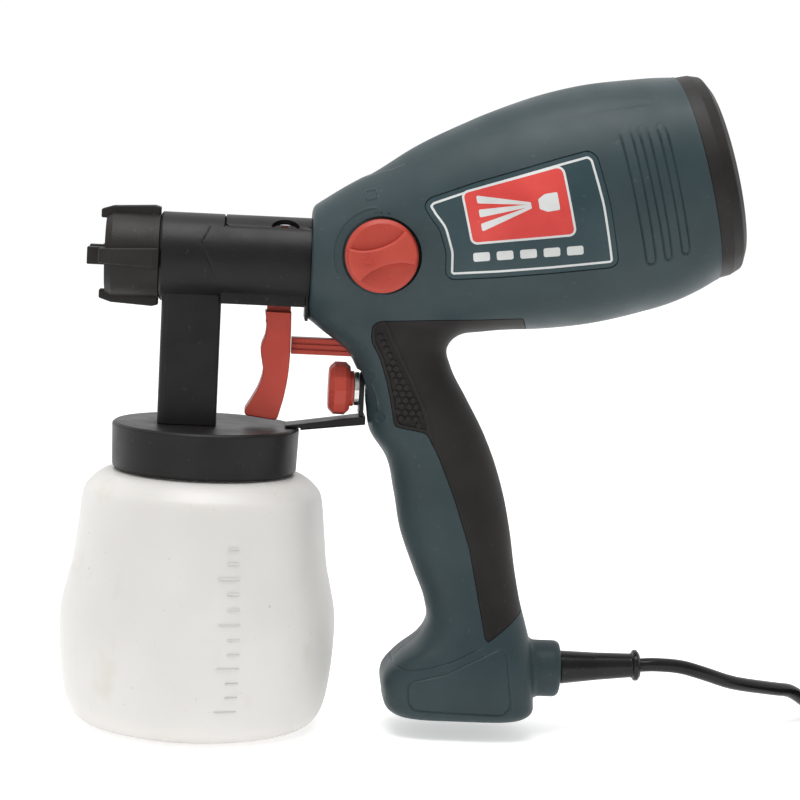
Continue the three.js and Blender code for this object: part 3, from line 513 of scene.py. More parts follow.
# ---------------------------------------------------------------- materials
class Look:
    """A Principled material under construction; texture scales are in cycles per metre."""

    def __init__(self, name, roughness, metallic=0.0):
        self.material = bpy.data.materials.new(name)
        self.material.use_nodes = True
        self.tree = self.material.node_tree
        self.shader = self.tree.nodes["Principled BSDF"]
        self.shader.inputs["Roughness"].default_value = roughness
        self.shader.inputs["Metallic"].default_value = metallic
        self.place = self.tree.nodes.new("ShaderNodeTexCoord").outputs["Object"]

    def node(self, kind, **settings):
        made = self.tree.nodes.new(kind)
        for key, value in settings.items():
            setattr(made, key, value)
        return made

    def link(self, source, target):
        self.tree.links.new(source, target)

    def noise(self, scale, detail=3.0, stretch=(1.0, 1.0, 1.0)):
        mapping = self.node("ShaderNodeMapping")
        mapping.inputs["Scale"].default_value = stretch
        self.link(self.place, mapping.inputs["Vector"])
        texture = self.node("ShaderNodeTexNoise")
        texture.inputs["Scale"].default_value = scale
        texture.inputs["Detail"].default_value = detail
        self.link(mapping.outputs["Vector"], texture.inputs["Vector"])
        return texture.outputs["Fac"]

    def ramp(self, source, stops):
        ramp = self.node("ShaderNodeValToRGB")
        while len(ramp.color_ramp.elements) < len(stops):
            ramp.color_ramp.elements.new(0.5)
        for element, (position, colour) in zip(ramp.color_ramp.elements, stops):
            element.position = position
            element.color = (*colour, 1.0)
        self.link(source, ramp.inputs["Fac"])
        return ramp.outputs["Color"]

    def mix(self, first, second, share, mode="MIX"):
        mixer = self.node("ShaderNodeMix", data_type="RGBA", blend_type=mode)
        for value, number in ((share, 0), (first, 6), (second, 7)):
            socket = mixer.inputs[number]
            if isinstance(value, bpy.types.NodeSocket):
                self.link(value, socket)
            elif isinstance(value, tuple):
                socket.default_value = (*value, 1.0)
            else:
                socket.default_value = value
        return mixer.outputs[2]

    def colour(self, source):
        self.link(source, self.shader.inputs["Base Color"])

    def uneven_gloss(self, scale, low, high):
        spread = self.node("ShaderNodeMapRange")
        spread.inputs["From Min"].default_value = 0.3
        spread.inputs["From Max"].default_value = 0.7
        spread.inputs["To Min"].default_value = low
        spread.inputs["To Max"].default_value = high
        self.link(self.noise(scale), spread.inputs["Value"])
        self.link(spread.outputs["Result"], self.shader.inputs["Roughness"])

    def relief(self, source, height, strength=1.0):
        """Adds bump of this height in metres on top of what is there."""
        bump = self.node("ShaderNodeBump")
        bump.inputs["Strength"].default_value = strength
        bump.inputs["Distance"].default_value = height
        self.link(source, bump.inputs["Height"])
        before = self.shader.inputs["Normal"].links
        if before:
            self.link(before[0].from_socket, bump.inputs["Normal"])
        self.link(bump.outputs["Normal"], self.shader.inputs["Normal"])


def moulded(name, dark, light, roughness, grain=1600, height=0.00004):
    """Moulded plastic: mottled colour, fine spark-eroded grain, faint dust and uneven gloss."""
    look = Look(name, roughness)
    look.shader.inputs["Specular IOR Level"].default_value = 0.2
    body = look.ramp(look.noise(45), [(0.35, dark), (0.65, light)])
    dust = look.ramp(look.noise(420, 5), [(0.66, (0, 0, 0)), (0.8, (0.03, 0.03, 0.028))])
    look.colour(look.mix(body, dust, 1.0, "ADD"))
    look.uneven_gloss(60, roughness - 0.06, roughness + 0.06)
    look.relief(look.noise(grain, 2), height)
    return look


def teal_plastic():
    look = moulded("teal_plastic", (0.026, 0.042, 0.047), (0.032, 0.050, 0.055), 0.44)
    scratches = look.noise(260, 6, (0.15, 1.0, 1.0))
    look.relief(look.ramp(scratches, [(0.68, (0, 0, 0)), (0.72, (1, 1, 1))]), 0.00003)
    return look.material


def black_plastic():
    return moulded("black_plastic", (0.008, 0.0075, 0.0075), (0.013, 0.012, 0.012), 0.42).material


def nozzle_plastic():
    dark, light = (0.012, 0.011, 0.0105), (0.02, 0.018, 0.017)
    return moulded("nozzle_plastic", dark, light, 0.5, 1300, 0.00007).material


def soft_grip():
    look = moulded("soft_grip", (0.010, 0.0085, 0.008), (0.016, 0.014, 0.013), 0.6, 2400, 0.00003)
    look.shader.inputs["Sheen Weight"].default_value = 0.05
    return look.material


def red_plastic():
    look = moulded("red_plastic", (0.38, 0.05, 0.034), (0.44, 0.064, 0.044), 0.4, 1100, 0.00004)
    look.shader.inputs["Subsurface Weight"].default_value = 0.05
    look.shader.inputs["Subsurface Scale"].default_value = 0.002
    return look.material


def milky_plastic():
    """Blown polyethylene: waxy and faintly see-through, with stains and a wavy surface."""
    look = Look("milky_plastic", 0.38)
    body = look.ramp(look.noise(14, 2), [(0.3, (0.6, 0.585, 0.56)), (0.7, (0.68, 0.665, 0.64))])
    stains = look.ramp(look.noise(38, 7), [(0.62, (1, 1, 1)), (0.85, (0.88, 0.85, 0.79))])
    specks = look.ramp(look.noise(520, 4), [(0.7, (1, 1, 1)), (0.8, (0.62, 0.6, 0.56))])
    look.colour(look.mix(look.mix(body, stains, 1.0, "MULTIPLY"), specks, 1.0, "MULTIPLY"))
    look.shader.inputs["Subsurface Weight"].default_value = 0.35
    look.shader.inputs["Subsurface Radius"].default_value = (1.0, 0.9, 0.8)
    look.shader.inputs["Subsurface Scale"].default_value = 0.006
    look.uneven_gloss(30, 0.32, 0.46)
    look.relief(look.noise(55, 2), 0.0004)
    look.relief(look.noise(900, 3), 0.00003)
    return look.material


def printed(name, dark, light):
    """Screen-printed ink on textured plastic."""
    return moulded(name, dark, light, 0.4, 1500, 0.00005).material


def white_print():
    return printed("white_print", (0.5, 0.51, 0.5), (0.6, 0.61, 0.6))


def red_print():
    return printed("red_print", (0.5, 0.045, 0.04), (0.58, 0.065, 0.055))


def label_plastic():
    dark, light = (0.024, 0.046, 0.053), (0.032, 0.056, 0.063)
    return moulded("label_plastic", dark, light, 0.36, 900, 0.00008).material


def steel():
    """Bright machined steel with fine turning marks."""
    look = Look("steel", 0.28, 1.0)
    look.colour(look.ramp(look.noise(90), [(0.3, (0.5, 0.5, 0.49)), (0.7, (0.66, 0.66, 0.65))]))
    look.uneven_gloss(500, 0.22, 0.38)
    look.relief(look.noise(2200, 2, (0.2, 1.0, 1.0)), 0.00001)
    return look.material


def brass():
    look = Look("brass", 0.35, 1.0)
    look.colour(look.ramp(look.noise(120), [(0.3, (0.5, 0.32, 0.12)), (0.7, (0.66, 0.46, 0.2))]))
    look.uneven_gloss(400, 0.28, 0.42)
    look.relief(look.noise(1800, 2), 0.00001)
    return look.material


def lamination():
    """Stacked, lacquered motor laminations."""
    look = Look("lamination", 0.45, 0.6)
    look.colour(look.ramp(look.noise(200), [(0.3, (0.09, 0.05, 0.035)), (0.7, (0.16, 0.1, 0.07))]))
    layers = look.node("ShaderNodeTexWave")
    layers.inputs["Scale"].default_value = 300
    look.link(look.place, layers.inputs["Vector"])
    look.relief(layers.outputs["Fac"], 0.0002)
    return look.material


def foam():
    """Open-cell filter foam."""
    look = Look("foam", 0.95)
    cells = look.node("ShaderNodeTexVoronoi")
    cells.inputs["Scale"].default_value = 900
    look.link(look.place, cells.inputs["Vector"])
    stops = [(0.1, (0.02, 0.02, 0.022)), (0.7, (0.1, 0.1, 0.105))]
    look.colour(look.ramp(cells.outputs["Distance"], stops))
    look.relief(cells.outputs["Distance"], 0.0006)
    return look.material


def cord_rubber():
    """Glossy flexible sheath with faint dust."""
    look = moulded("cord_rubber", (0.006, 0.006, 0.007), (0.012, 0.012, 0.013), 0.26, 700, 0.00003)
    look.shader.inputs["Coat Weight"].default_value = 0.08
    return look.material


def seal_rubber():
    return moulded("seal_rubber", (0.01, 0.01, 0.01), (0.018, 0.018, 0.018), 0.7, 1200, 0.00006).material


def pale_floor():
    look = Look("pale_floor", 0.6)
    look.colour(look.ramp(look.noise(8), [(0.3, (0.88, 0.88, 0.88)), (0.7, (0.91, 0.91, 0.91))]))
    look.shader.inputs["Emission Color"].default_value = (1.0, 1.0, 1.0, 1.0)
    look.shader.inputs["Emission Strength"].default_value = 0.45
    return look.material


TEAL = teal_plastic()
BLACK = black_plastic()
NOZZLE = nozzle_plastic()
GRIP = soft_grip()
RED = red_plastic()
MILKY = milky_plastic()
WHITE_PRINT = white_print()
RED_PRINT = red_print()
LABEL = label_plastic()
STEEL = steel()
BRASS = brass()
LAMINATION = lamination()
FOAM = foam()
CORD = cord_rubber()
SEAL = seal_rubber()


# ---------------------------------------------------------------- mains lead
CORD_R = 3.0
BOOT_TILT = math.radians(3.5)
BOOT_AXIS = np.array((math.cos(BOOT_TILT), 0.0, math.sin(BOOT_TILT)))
BOOT_START = np.array((144.0, 0.0, CABLE_Z))
BOOT_LENGTH = 44.8
COIL_X, COIL_Y = 310.0, 14.0
# Radius and height of each turn of the coil, from the first to be laid.
COIL_SLOTS = [
    (39, 3.2), (33, 3.2), (27, 3.2), (27, 9.2), (33, 9.2), (39, 9.2), (33, 15.2), (39, 15.2),
]
FIRST_TURN, LAST_TURN = 0.71, 7.86  # where on the coil the cord comes in and leaves
PLUG_X, PLUG_Z = 386.0, 7.5
PIN_SPACING = 18.6


def coil_points():
    """Turns of the coil, each at its slot's radius and height, shifting to the next near its end."""
    shift = 0.16
    per_turn = 36
    points = []
    total = len(COIL_SLOTS)
    for turn in np.arange(FIRST_TURN, LAST_TURN, 1 / per_turn):
        k = min(int(turn), total - 1)
        radius, height = COIL_SLOTS[k]
        ahead = COIL_SLOTS[min(k + 1, total - 1)]
        share = np.clip((turn - k - 1 + shift) / shift, 0, 1)
        share = share * share * (3 - 2 * share)
        radius += (ahead[0] - radius) * share
        height += (ahead[1] - height) * share
        angle = -2 * math.pi * turn
        points.append((COIL_X + radius * math.cos(angle), COIL_Y + radius * math.sin(angle), height))
    return points


def cord_route():
    """Exit, free stretch down to the floor, coil, and the short tail to the plug."""
    leave = BOOT_START + BOOT_AXIS * (BOOT_LENGTH + GAP)
    lead = [
        leave, leave + BOOT_AXIS * 7, (207, 2, 29.6), (217.7, 5, 26.5), (232.4, 12, 21.3), (252, 25, 16.6),
        (262, 33, 14), (271, 42, 8), (279, 49.5, 3.2),
    ]
    tail = [(347, 30, 15), (356, 15, 12), (364, 5, 8), (371, 0.5, 7.5), (377.5, 0, 7.5)]
    return spline([*lead, *coil_points(), *tail], 4)


def power_cord():
    route = cord_route()
    made = piece("mains_lead", tube(route, CORD_R, 12), "handle_unit", "cord_rubber", [CORD],
                 ["power_cord", "cord_coil", "cord_tail"])
    return made, route


def power_plug():
    """Two-pin moulded plug lying on the floor."""
    corners = [(-8, -5, 2), (0, -7, 6), (8, -17.5, 5), (26, -17.5, 3), (30, -13.5, 2),
               (30, 13.5, 2), (26, 17.5, 3), (8, 17.5, 5), (0, 7, 6), (-8, 5, 2)]
    body = prism(rounded(corners), 1, 14, lambda a, b, depth: (PLUG_X + a, b, depth), 3.0)
    pin_profile = [(0, 27), (2, 27), (2, 47.5), (1.4, 49), (0, 49)]
    pins = [
        turned(pin_profile, (PLUG_X, side * PIN_SPACING / 2, PLUG_Z), X, 32) for side in (-1, 1)
    ]
    for pin in pins:
        pin.finish[:] = 1
    whole = joined(body, *pins)
    return piece("mains_plug", whole, "handle_unit", "cord_rubber", [CORD, BRASS], ["power_plug"])


def strain_relief():
    """Tapered boot with a collar at the housing and a bead at its tip."""
    corners = [
        (0, 0), (7.7, 0), (7.7, 6, 0.8), (6.6, 8, 0.8), (6.6, 9.5, 0.5), (7.1, 11, 0.8), (5.9, 26, 20),
        (5.1, 41.4, 1), (6.5, 41.9, 0.9), (6.7, 43.6, 0.9), (5.2, BOOT_LENGTH, 0.6),
        (3.2, BOOT_LENGTH, 0.3), (0, BOOT_LENGTH - 1),
    ]
    skin = turned(rounded(corners, 5), BOOT_START, BOOT_AXIS, 64)
    return piece("cord_boot", skin, "handle_unit", "cord_rubber", [CORD], ["strain_relief"])


def leads():
    lead, route = power_cord()
    plug = power_plug()
    boot = strain_relief()


# ---------------------------------------------------------------- housing forms
# Turbine body: distance along the turbine axis, height above it, depth below it, half-width.
BODY = np.array([
    (-178, 17, 17, 19.5), (-157, 24.2, 24, 24.5), (-144, 28.6, 29.5, 26.5), (-128, 33.2, 35, 29.5),
    (-110, 39.2, 41, 34), (-92, 43.2, 43.8, 38), (-74, 46.2, 47.2, 41.5), (-55, 48.2, 49.3, 43.8),
    (-36, 48.2, 49.4, 45), (-18, 46.2, 48, 44.8), (-7, 44.6, 45.5, 43.9), (0, 43.2, 43.2, 43.2),
])
# Handle and foot: front edge and rear edge as (height, x), then (height, half-width, squareness).
HANDLE_FRONT = np.array([
    (7.5, 83.5), (10.5, 80.6), (16, 79), (25, 78.9), (32.3, 84.6), (39.5, 92.6), (47, 96.4), (55, 95.3),
    (68.5, 89.8), (85, 83.4), (101.5, 79.8), (116.5, 75.5), (125.6, 69), (139, 66), (152.5, 61.8),
    (161.3, 55.5), (164.6, 51), (168, 46.1), (172.3, 41.3), (181, 40.9),
])
HANDLE_REAR = np.array([
    (7.5, 140), (10.5, 142.6), (16, 142.9), (25, 142.4), (32.3, 141.6), (39.5, 140.6), (47, 138.6),
    (55, 136.2), (69, 133), (86.5, 129.9), (103.5, 125.8), (118.8, 120.4), (129, 115.7), (142, 108.3),
    (154.8, 101.2), (163, 99.4), (166, 101), (169.2, 103.3), (173, 106), (181, 112),
])
HANDLE_WIDTH = np.array([
    (7.5, 22.8, 3.8), (10.5, 25.2, 4), (16, 26, 4.2), (25, 26, 4.2), (32.3, 25, 3.8), (39.5, 23.2, 3.2),
    (47, 21, 2.7), (55, 19.2, 2.4), (69, 17.8, 2.3), (86, 17.2, 2.3), (102, 17.2, 2.3), (118, 17.5, 2.3),
    (127, 17.8, 2.3), (140, 18, 2.3), (154, 18.2, 2.3), (162, 18.8, 2.3), (168, 19.8, 2.3),
    (172.5, 20.3, 2.3), (181, 21, 2.3),
])
FOOT_BOTTOM = 7.5
HANDLE_TOP = 184.0


def oval(across, up, width, height, power):
    """Distance, near enough, from the edge of a superellipse."""
    share = (np.abs(across / width) ** power + np.abs(up / height) ** power) ** (1 / power)
    return np.hypot(across, up) * (1 - 1 / np.maximum(share, 0.05))


def body_field(points):
    away = points - TURBINE
    along = away @ TURBINE_AXIS
    up = away @ TURBINE_UP
    top, bottom, side = (curve(along, BODY[:, 0], BODY[:, k]) for k in (1, 2, 3))
    skin = oval(points[:, 1], up, side, np.where(up > 0, top, bottom), 2.1)
    return clipped(skin, np.maximum(HOUSING_FRONT - points[:, 0], along - 4), 2.0)


def handle_field(points):
    x, y, z = points.T
    front = curve(z, *HANDLE_FRONT.T)
    rear = curve(z, *HANDLE_REAR.T)
    width = curve(z, HANDLE_WIDTH[:, 0], HANDLE_WIDTH[:, 1])
    power = curve(z, HANDLE_WIDTH[:, 0], HANDLE_WIDTH[:, 2])
    skin = oval(x - (front + rear) / 2, y, (rear - front) / 2, width, power)
    return clipped(skin, np.maximum(FOOT_BOTTOM - z, z - HANDLE_TOP), 3.0)


def boss_field(points):
    """Round boss that the mains lead leaves through."""
    x, y, z = points.T
    return clipped(np.hypot(y, z - CABLE_Z) - 12, np.maximum(132 - x, x - 154.2), 3.0)


def housing_field(points):
    return merged(merged(body_field(points), handle_field(points), 5.0), boss_field(points), 3.0)


def steepness(field, points):
    step = 0.2
    slope = [(field(points + step * axis) - field(points - step * axis)) / (2 * step) for axis in (X, Y, Z)]
    return np.column_stack(slope)


def surfaced(field, low, high, step):
    """Skin on the zero level of a field: a point in each grid cell it crosses, pulled onto the level."""
    axes = [np.arange(a, b + step, step) for a, b in zip(low, high)]
    grid = np.stack(np.meshgrid(*axes, indexing="ij"), axis=-1)
    inside = (field(grid.reshape(-1, 3)) < 0).reshape(grid.shape[:3])
    total = np.zeros([size - 1 for size in inside.shape], int)
    for corner in np.ndindex(2, 2, 2):
        total += inside[tuple(slice(c, c + size) for c, size in zip(corner, total.shape))]
    crossed = (total > 0) & (total < 8)
    number = np.full(total.shape, -1)
    number[crossed] = np.arange(crossed.sum())
    triangles = []
    for axis in range(3):
        first = np.take(inside, range(inside.shape[axis] - 1), axis)
        second = np.take(inside, range(1, inside.shape[axis]), axis)
        for leaving in (True, False):
            edges = np.argwhere((first & ~second) if leaving else (~first & second))
            one, two = np.eye(3, dtype=int)[(axis + 1) % 3], np.eye(3, dtype=int)[(axis + 2) % 3]
            corners = [number[tuple((edges - shift).T)] for shift in (0 * one, one, one + two, two)]
            a, b, c, d = corners if leaving else corners[::-1]
            triangles += [np.column_stack((a, b, c)), np.column_stack((a, c, d))]
    points = np.argwhere(crossed) * step + np.asarray(low, float) + step / 2
    skin = Skin(points, np.vstack(triangles))
    for _ in range(5):
        settle(skin)
        pull(skin, field)
    pull(skin, field)
    return skin


def settle(skin):
    """Moves every point to the middle of its neighbours."""
    ends = skin.triangles[:, [[0, 1], [1, 2], [2, 0]]].reshape(-1, 2)
    total = np.zeros_like(skin.points)
    count = np.zeros(len(skin.points))
    for a, b in (ends.T, ends.T[::-1]):
        np.add.at(total, a, skin.points[b])
        np.add.at(count, a, 1)
    skin.points = total / count[:, None]


def pull(skin, field):
    """Brings every point onto the field's zero level."""
    slope = steepness(field, skin.points)
    skin.points -= slope * (field(skin.points) / np.maximum(np.sum(slope * slope, axis=1), 0.1))[:, None]


def beside(points, line, steep=False):
    """Distance of 2-D points from an open line, with a sign for the side they lie on."""
    k = 1 if steep else 0
    line = np.array(sorted(line, key=lambda spot: spot[k]), float)
    side = points[:, 1 - k] - np.interp(points[:, k], line[:, k], line[:, 1 - k])
    return line_distance(points, line) * np.where(side < 0, -1.0, 1.0)


def engrave(skin, distance_of, width, depth, share_of=None):
    """V-groove along the zero line of distance_of, faded by share_of; a negative depth is a ridge."""
    skin.split(distance_of)
    skin.split(lambda points: np.abs(distance_of(points)) - width / 2)

    def depth_of(points):
        share = np.clip(1 - np.abs(distance_of(points)) / (width / 2), 0, 1)
        return depth * share * (1 if share_of is None else share_of(points))

    skin.press(depth_of)


# ---------------------------------------------------------------- housing details
CREASE = [(52.3, 228.1), (60.5, 232.5), (72.5, 237.2), (85.1, 243.2), (104.2, 250.6), (125.8, 257.1),
          (153.9, 264.6), (173.4, 268)]
STRIPS = [
    ((161, 257.4), (175.7, 203.4), (179.7, 203.8), (165.4, 258.4)),
    ((168.6, 258.9), (183.3, 205.2), (186.1, 206.1), (172.2, 259.5)),
    ((176.3, 260.1), (190.1, 207.9), (193.3, 208.9), (179.5, 261.1)),
]
FOOT_SEAM = [(77.2, 30.6), (87.6, 29.1), (97, 30.7), (106.5, 33.6), (120.2, 40.7)]
FOOT_PANEL = rounded([
    (88.3, 24.3, 3), (104, 28.5, 20), (125.2, 39.3, 2), (129.1, 38.8, 2), (132, 15.5, 2),
    (128.7, 11.8, 2), (91.4, 12.7, 2), (88.9, 15.9, 2),
])
GRIP_OUTLINE = rounded([
    (66.5, 165.5, 6), (70.4, 158.8, 10), (73.5, 149.9), (75.8, 141.2), (78, 130.2, 2), (91.5, 128.2, 4),
    (97.3, 117.6, 12), (104.4, 101.1, 30), (111.8, 80.4, 30), (120.4, 41.4, 1), (137.5, 54.5), (152, 70),
    (152, 166), (132.4, 170), (128.4, 177.8, 1), (110.8, 176.4), (69.6, 174, 4), (66.5, 172, 3),
])
GRIP_LINE = [(71.3, 175), (77.5, 162.7), (85.2, 148.5), (90.8, 136.3), (93.8, 126.1), (95, 120)]
LABEL_OUTLINE = rounded([
    (84.3, 222.5, 4), (86.5, 225.8, 5), (104.3, 233, 60), (137.6, 244.6), (149.1, 248.4, 4),
    (152.5, 246.1, 4), (158.4, 227.6, 60), (163.8, 204.1, 3), (162, 201.5, 4), (137.7, 197.9),
    (116.1, 195), (97, 193, 3), (94.6, 195, 3), (94.2, 204, 8), (91.2, 213.2, 10), (87.3, 217.9, 6),
])
HEX_PITCH = 3.0
MOUTH_R = 16.9
CABLE_BORE_R = 8.2
ROD_Z = 160.75  # middle of the switch rod
SKIN_STEP = 1.5  # grid the housing's skin is found on
SHELL_WALL = 1.6
SCREWS = [
    turbine_point(-128, 24.8), turbine_point(-42, 40.3), turbine_point(-42, -41), np.array((106, 0, 176)),
    np.array((84.5, 0, 137)), np.array((104.5, 0, 76)), np.array((94, 0, 19)),
]


def in_outline(outline, extra=0.0):
    return lambda points: outline_distance(side_view(points), outline) - extra


def in_circle(centre, radius):
    return lambda points: np.hypot(points[:, 0] - centre[0], points[:, 2] - centre[-1]) - radius


def lower(depth):
    return lambda points, normals: points - normals * depth


def flat_y(level):
    """Moves points onto the plane y = level."""
    return lambda points, normals: points * (1, 0, 1) + (0, level, 0)


def recess(skin, value_of, move, finish=None):
    """Sinks the patch of the skin where value_of is negative."""
    skin.split(value_of)
    skin.sink(skin.where(value_of), move, finish)


def rear_joint(points):
    """Behind the joint with the rear cover."""
    return (points - TURBINE) @ TURBINE_AXIS - 0.2


def barrel_mouth(points):
    """Round mouth in the front face, for the barrel's spigot."""
    reach = MOUTH_R - np.hypot(points[:, 1], points[:, 2] - BARREL_Z)
    return np.where(points[:, 0] < HOUSING_FRONT + 3.5, reach, -1.0)


def rod_mouth(points):
    """Rectangular mouth in the handle's front, for the switch rod."""
    x, y, z = points.T
    inside = np.maximum(np.abs(y) - 3.9, np.abs(z - ROD_Z) - 4.0)
    return np.where(x < 80, -inside, -1.0)


def cable_bore(points):
    """Round bore in the end of the rear boss, for the cord's boot."""
    x, y, z = points.T
    return np.where(x > 150, CABLE_BORE_R - np.hypot(y, z - CABLE_Z), -1.0)


def bracket_pocket(points):
    """Pocket in the handle's front, for the flow knob's bracket."""
    x, y, z = points.T
    return np.where(x < 75, np.maximum(np.abs(y) - 7.6, np.abs(z - 138.35) - 13.85), 5.0)


def add_crease(skin):
    """Long lens-shaped band down the flank, cut in along its lower edge."""
    ledge = 0.6

    def offset(points):
        return beside(side_view(points), CREASE)

    def depth_of(points):
        away = offset(points)
        share = np.clip((points[:, 0] - 48) / 132, 0, 1)
        bulge = np.sin(math.pi * share)
        width = 1.0 + 6.5 * bulge
        above = np.clip(1 - away / width, 0, 1)
        below = np.clip(1 + away / ledge, 0, 1)
        return bulge ** 0.6 * np.where(away > 0, above, below)

    skin.split(offset)
    skin.split(lambda points: offset(points) + ledge)
    skin.press(depth_of)


def add_strips(skin):
    """Three narrow sunk strips down the side of the motor housing."""
    def fade(points):
        return np.clip((258.5 + 0.25 * (points[:, 0] - 165) - points[:, 2]) / 7, 0, 1)

    for corners in STRIPS:
        outline = rounded([(*corner, 1.6) for corner in corners])
        engrave(skin, in_outline(outline), 1.3, 0.6, fade)


def add_foot_lines(skin):
    def seam(points):
        return beside(side_view(points), FOOT_SEAM)

    def seam_share(points):
        return np.clip((122 - points[:, 0]) / 6, 0, 1) * (np.abs(points[:, 2] - 35) < 14)

    engrave(skin, seam, 1.2, 0.5, seam_share)
    engrave(skin, in_outline(FOOT_PANEL), 1.3, 0.45)


def add_handle_marks(skin):
    """Raised plus and minus roundels for the flow knob, joined by a thin arrow."""
    upper, low = (67.2, 150.6), (72.3, 133.6)
    line = [(68.0, 147.2), (70.2, 142), (71.2, 136.6)]
    for centre in (upper, low):
        engrave(skin, in_circle(centre, 2.3), 0.9, -0.3)

    def arrow(points):
        return beside(side_view(points), line, steep=True)

    def arrow_share(points):
        return (points[:, 2] > 136.4) * (points[:, 2] < 147.4) * 1.0

    engrave(skin, arrow, 0.9, -0.3, arrow_share)


def add_lock_marks(skin):
    """Raised arc beside the lock knob, with a padlock outline at its upper end."""
    def arc(points):
        return np.hypot(points[:, 0] - LOCK[0], points[:, 2] - LOCK[1]) - 19.6

    def arc_share(points):
        turn = np.degrees(np.arctan2(points[:, 2] - LOCK[1], points[:, 0] - LOCK[0])) % 360
        return ((turn > 98) & (turn < 206)) * 1.0

    engrave(skin, arc, 1.0, -0.3, arc_share)
    padlock = rounded([(62.0, 223.2, 0.6), (66.4, 224.6, 0.6), (65.4, 228.0, 0.6), (61.0, 226.6, 0.6)], 3)
    engrave(skin, in_outline(padlock), 0.8, -0.3)


def half(skin, side):
    """One shell's share of the whole skin: side -1 is the left."""
    return skin.trim(lambda points: SPLIT - side * points[:, 1])


def whole_housing():
    skin = surfaced(housing_field, (38, -50, 4), (216, 50, 290), SKIN_STEP)
    skin = skin.trim(rear_joint)
    skin = skin.trim(barrel_mouth)
    return skin.trim(rod_mouth)


def housing_half(base, side):
    skin = half(base, side)
    add_crease(skin)
    add_strips(skin)
    add_foot_lines(skin)
    add_handle_marks(skin)
    recess(skin, bracket_pocket, lambda points, normals: np.maximum(points, (66.1, -99, 0)))
    recess(skin, in_outline(GRIP_OUTLINE, 0.15), lower(2.3))
    if side < 0:
        add_lock_marks(skin)
        recess(skin, in_outline(LABEL_OUTLINE, 0.15), lower(1.1))
        recess(skin, in_circle(LOCK, LOCK_R + 1.1), flat_y(-24.0))
    else:
        for spot in SCREWS:
            recess(skin, in_circle(spot, 3.7), flat_y(10.0))
    skin = skin.trim(cable_bore)
    skin.thicken(SHELL_WALL)
    name = "left" if side < 0 else "right"
    return piece(f"shell_{name}", skin, "handle_unit", "teal_plastic", [TEAL], [f"housing_{name}"])


def surface_spots(spots, side):
    """Points of the housing's side at these (x, z), found by halving."""
    near = np.column_stack((spots[:, 0], np.full(len(spots), side * 1.0), spots[:, 1]))
    far = near * (1, 32, 1)
    for _ in range(16):
        middle = (near + far) / 2
        inside = (housing_field(middle) < 0)[:, None]
        near, far = np.where(inside, middle, near), np.where(inside, far, middle)
    return near


def hex_studs(side):
    """Low hexagonal studs over the panel in front of the grip line."""
    rows = np.arange(126, 176, HEX_PITCH * 0.866)
    spots = np.array([
        (x + (k % 2) * HEX_PITCH / 2, z) for k, z in enumerate(rows) for x in np.arange(64, 97, HEX_PITCH)
    ])
    inside = outline_distance(spots, GRIP_OUTLINE) < -2.1
    in_front = beside(spots, GRIP_LINE, steep=True) < -2.4
    spots = spots[inside & in_front]
    centres = surface_spots(spots, side)
    slopes = steepness(housing_field, centres)
    turn = np.linspace(0, 2 * math.pi, 6, endpoint=False)
    hexagon = 1.32 * np.column_stack((np.sin(turn), np.cos(turn)))
    studs = []
    for centre, slope in zip(centres, slopes):
        out = unit(slope)
        right = unit(np.cross(out, Z))
        up = np.cross(right, out)
        studs.append(prism(
            hexagon, -1.4, 0.1, lambda a, b, depth: centre + right * a + up * b + out * depth, 0.25,
        ))
    return joined(*studs)


def grip_half(base, side):
    """Soft skin laid into the handle, its front panel sunk and studded."""
    skin = half(base, side)
    skin = skin.trim(in_outline(GRIP_OUTLINE, -0.15))

    def panel(points):
        flat = side_view(points)
        behind = beside(flat, GRIP_LINE, steep=True) + 1.2
        return np.maximum(behind, outline_distance(flat, GRIP_OUTLINE) + 1.3)

    recess(skin, panel, lower(0.7))
    engrave(skin, lambda points: beside(side_view(points), GRIP_LINE, steep=True), 1.4, -0.35)
    if side > 0:
        for spot in SCREWS:
            skin = skin.trim(lambda points: -in_circle(spot, 3.7)(points))
    skin.thicken(1.3)
    name = "left" if side < 0 else "right"
    whole = joined(skin, hex_studs(side))
    return piece(f"soft_grip_{name}", whole, "handle_unit", "soft_grip", [GRIP], [f"grip_{name}"])


# ---------------------------------------------------------------- side label
RED_FIELD = rounded([(100, 228.3, 2), (138.5, 241.2, 2.5), (145, 214.6, 2), (104.8, 208.8, 2)])


def spray_mark():
    """Generic picture for the red field: a nozzle block and three widening rays."""
    along = unit((1.0, 0.22))
    up = np.array((-along[1], along[0]))
    tip = np.array((130.0, 225.8))

    def shape(corners):
        return rounded([(*(tip + along * a + up * b), 0.6) for a, b in corners])

    rays = []
    for spread in (-0.24, 0.0, 0.24):
        near, far = -3.0, -24.0
        rays.append(shape([
            (near, near * spread - 0.5), (far, far * spread - 1.6), (far, far * spread + 1.6),
            (near, near * spread + 0.5),
        ]))
    nozzle = shape([(0, -2), (3, -3.6), (8, -3.6), (8, 3.6), (3, 3.6), (0, 2)])
    return [nozzle, *rays]


def plain_bars():
    """A row of plain blocks under the red field, in place of lettering."""
    bars = []
    for k in range(5):
        left = np.array((105.0 + 9.3 * k, 204.6 + 1.15 * k))
        right = left + (6.6, 0.85)
        drop = np.array((0.5, -3.6))
        bars.append(rounded([(*corner, 0.8) for corner in (left, right, right + drop, left + drop)]))
    return bars


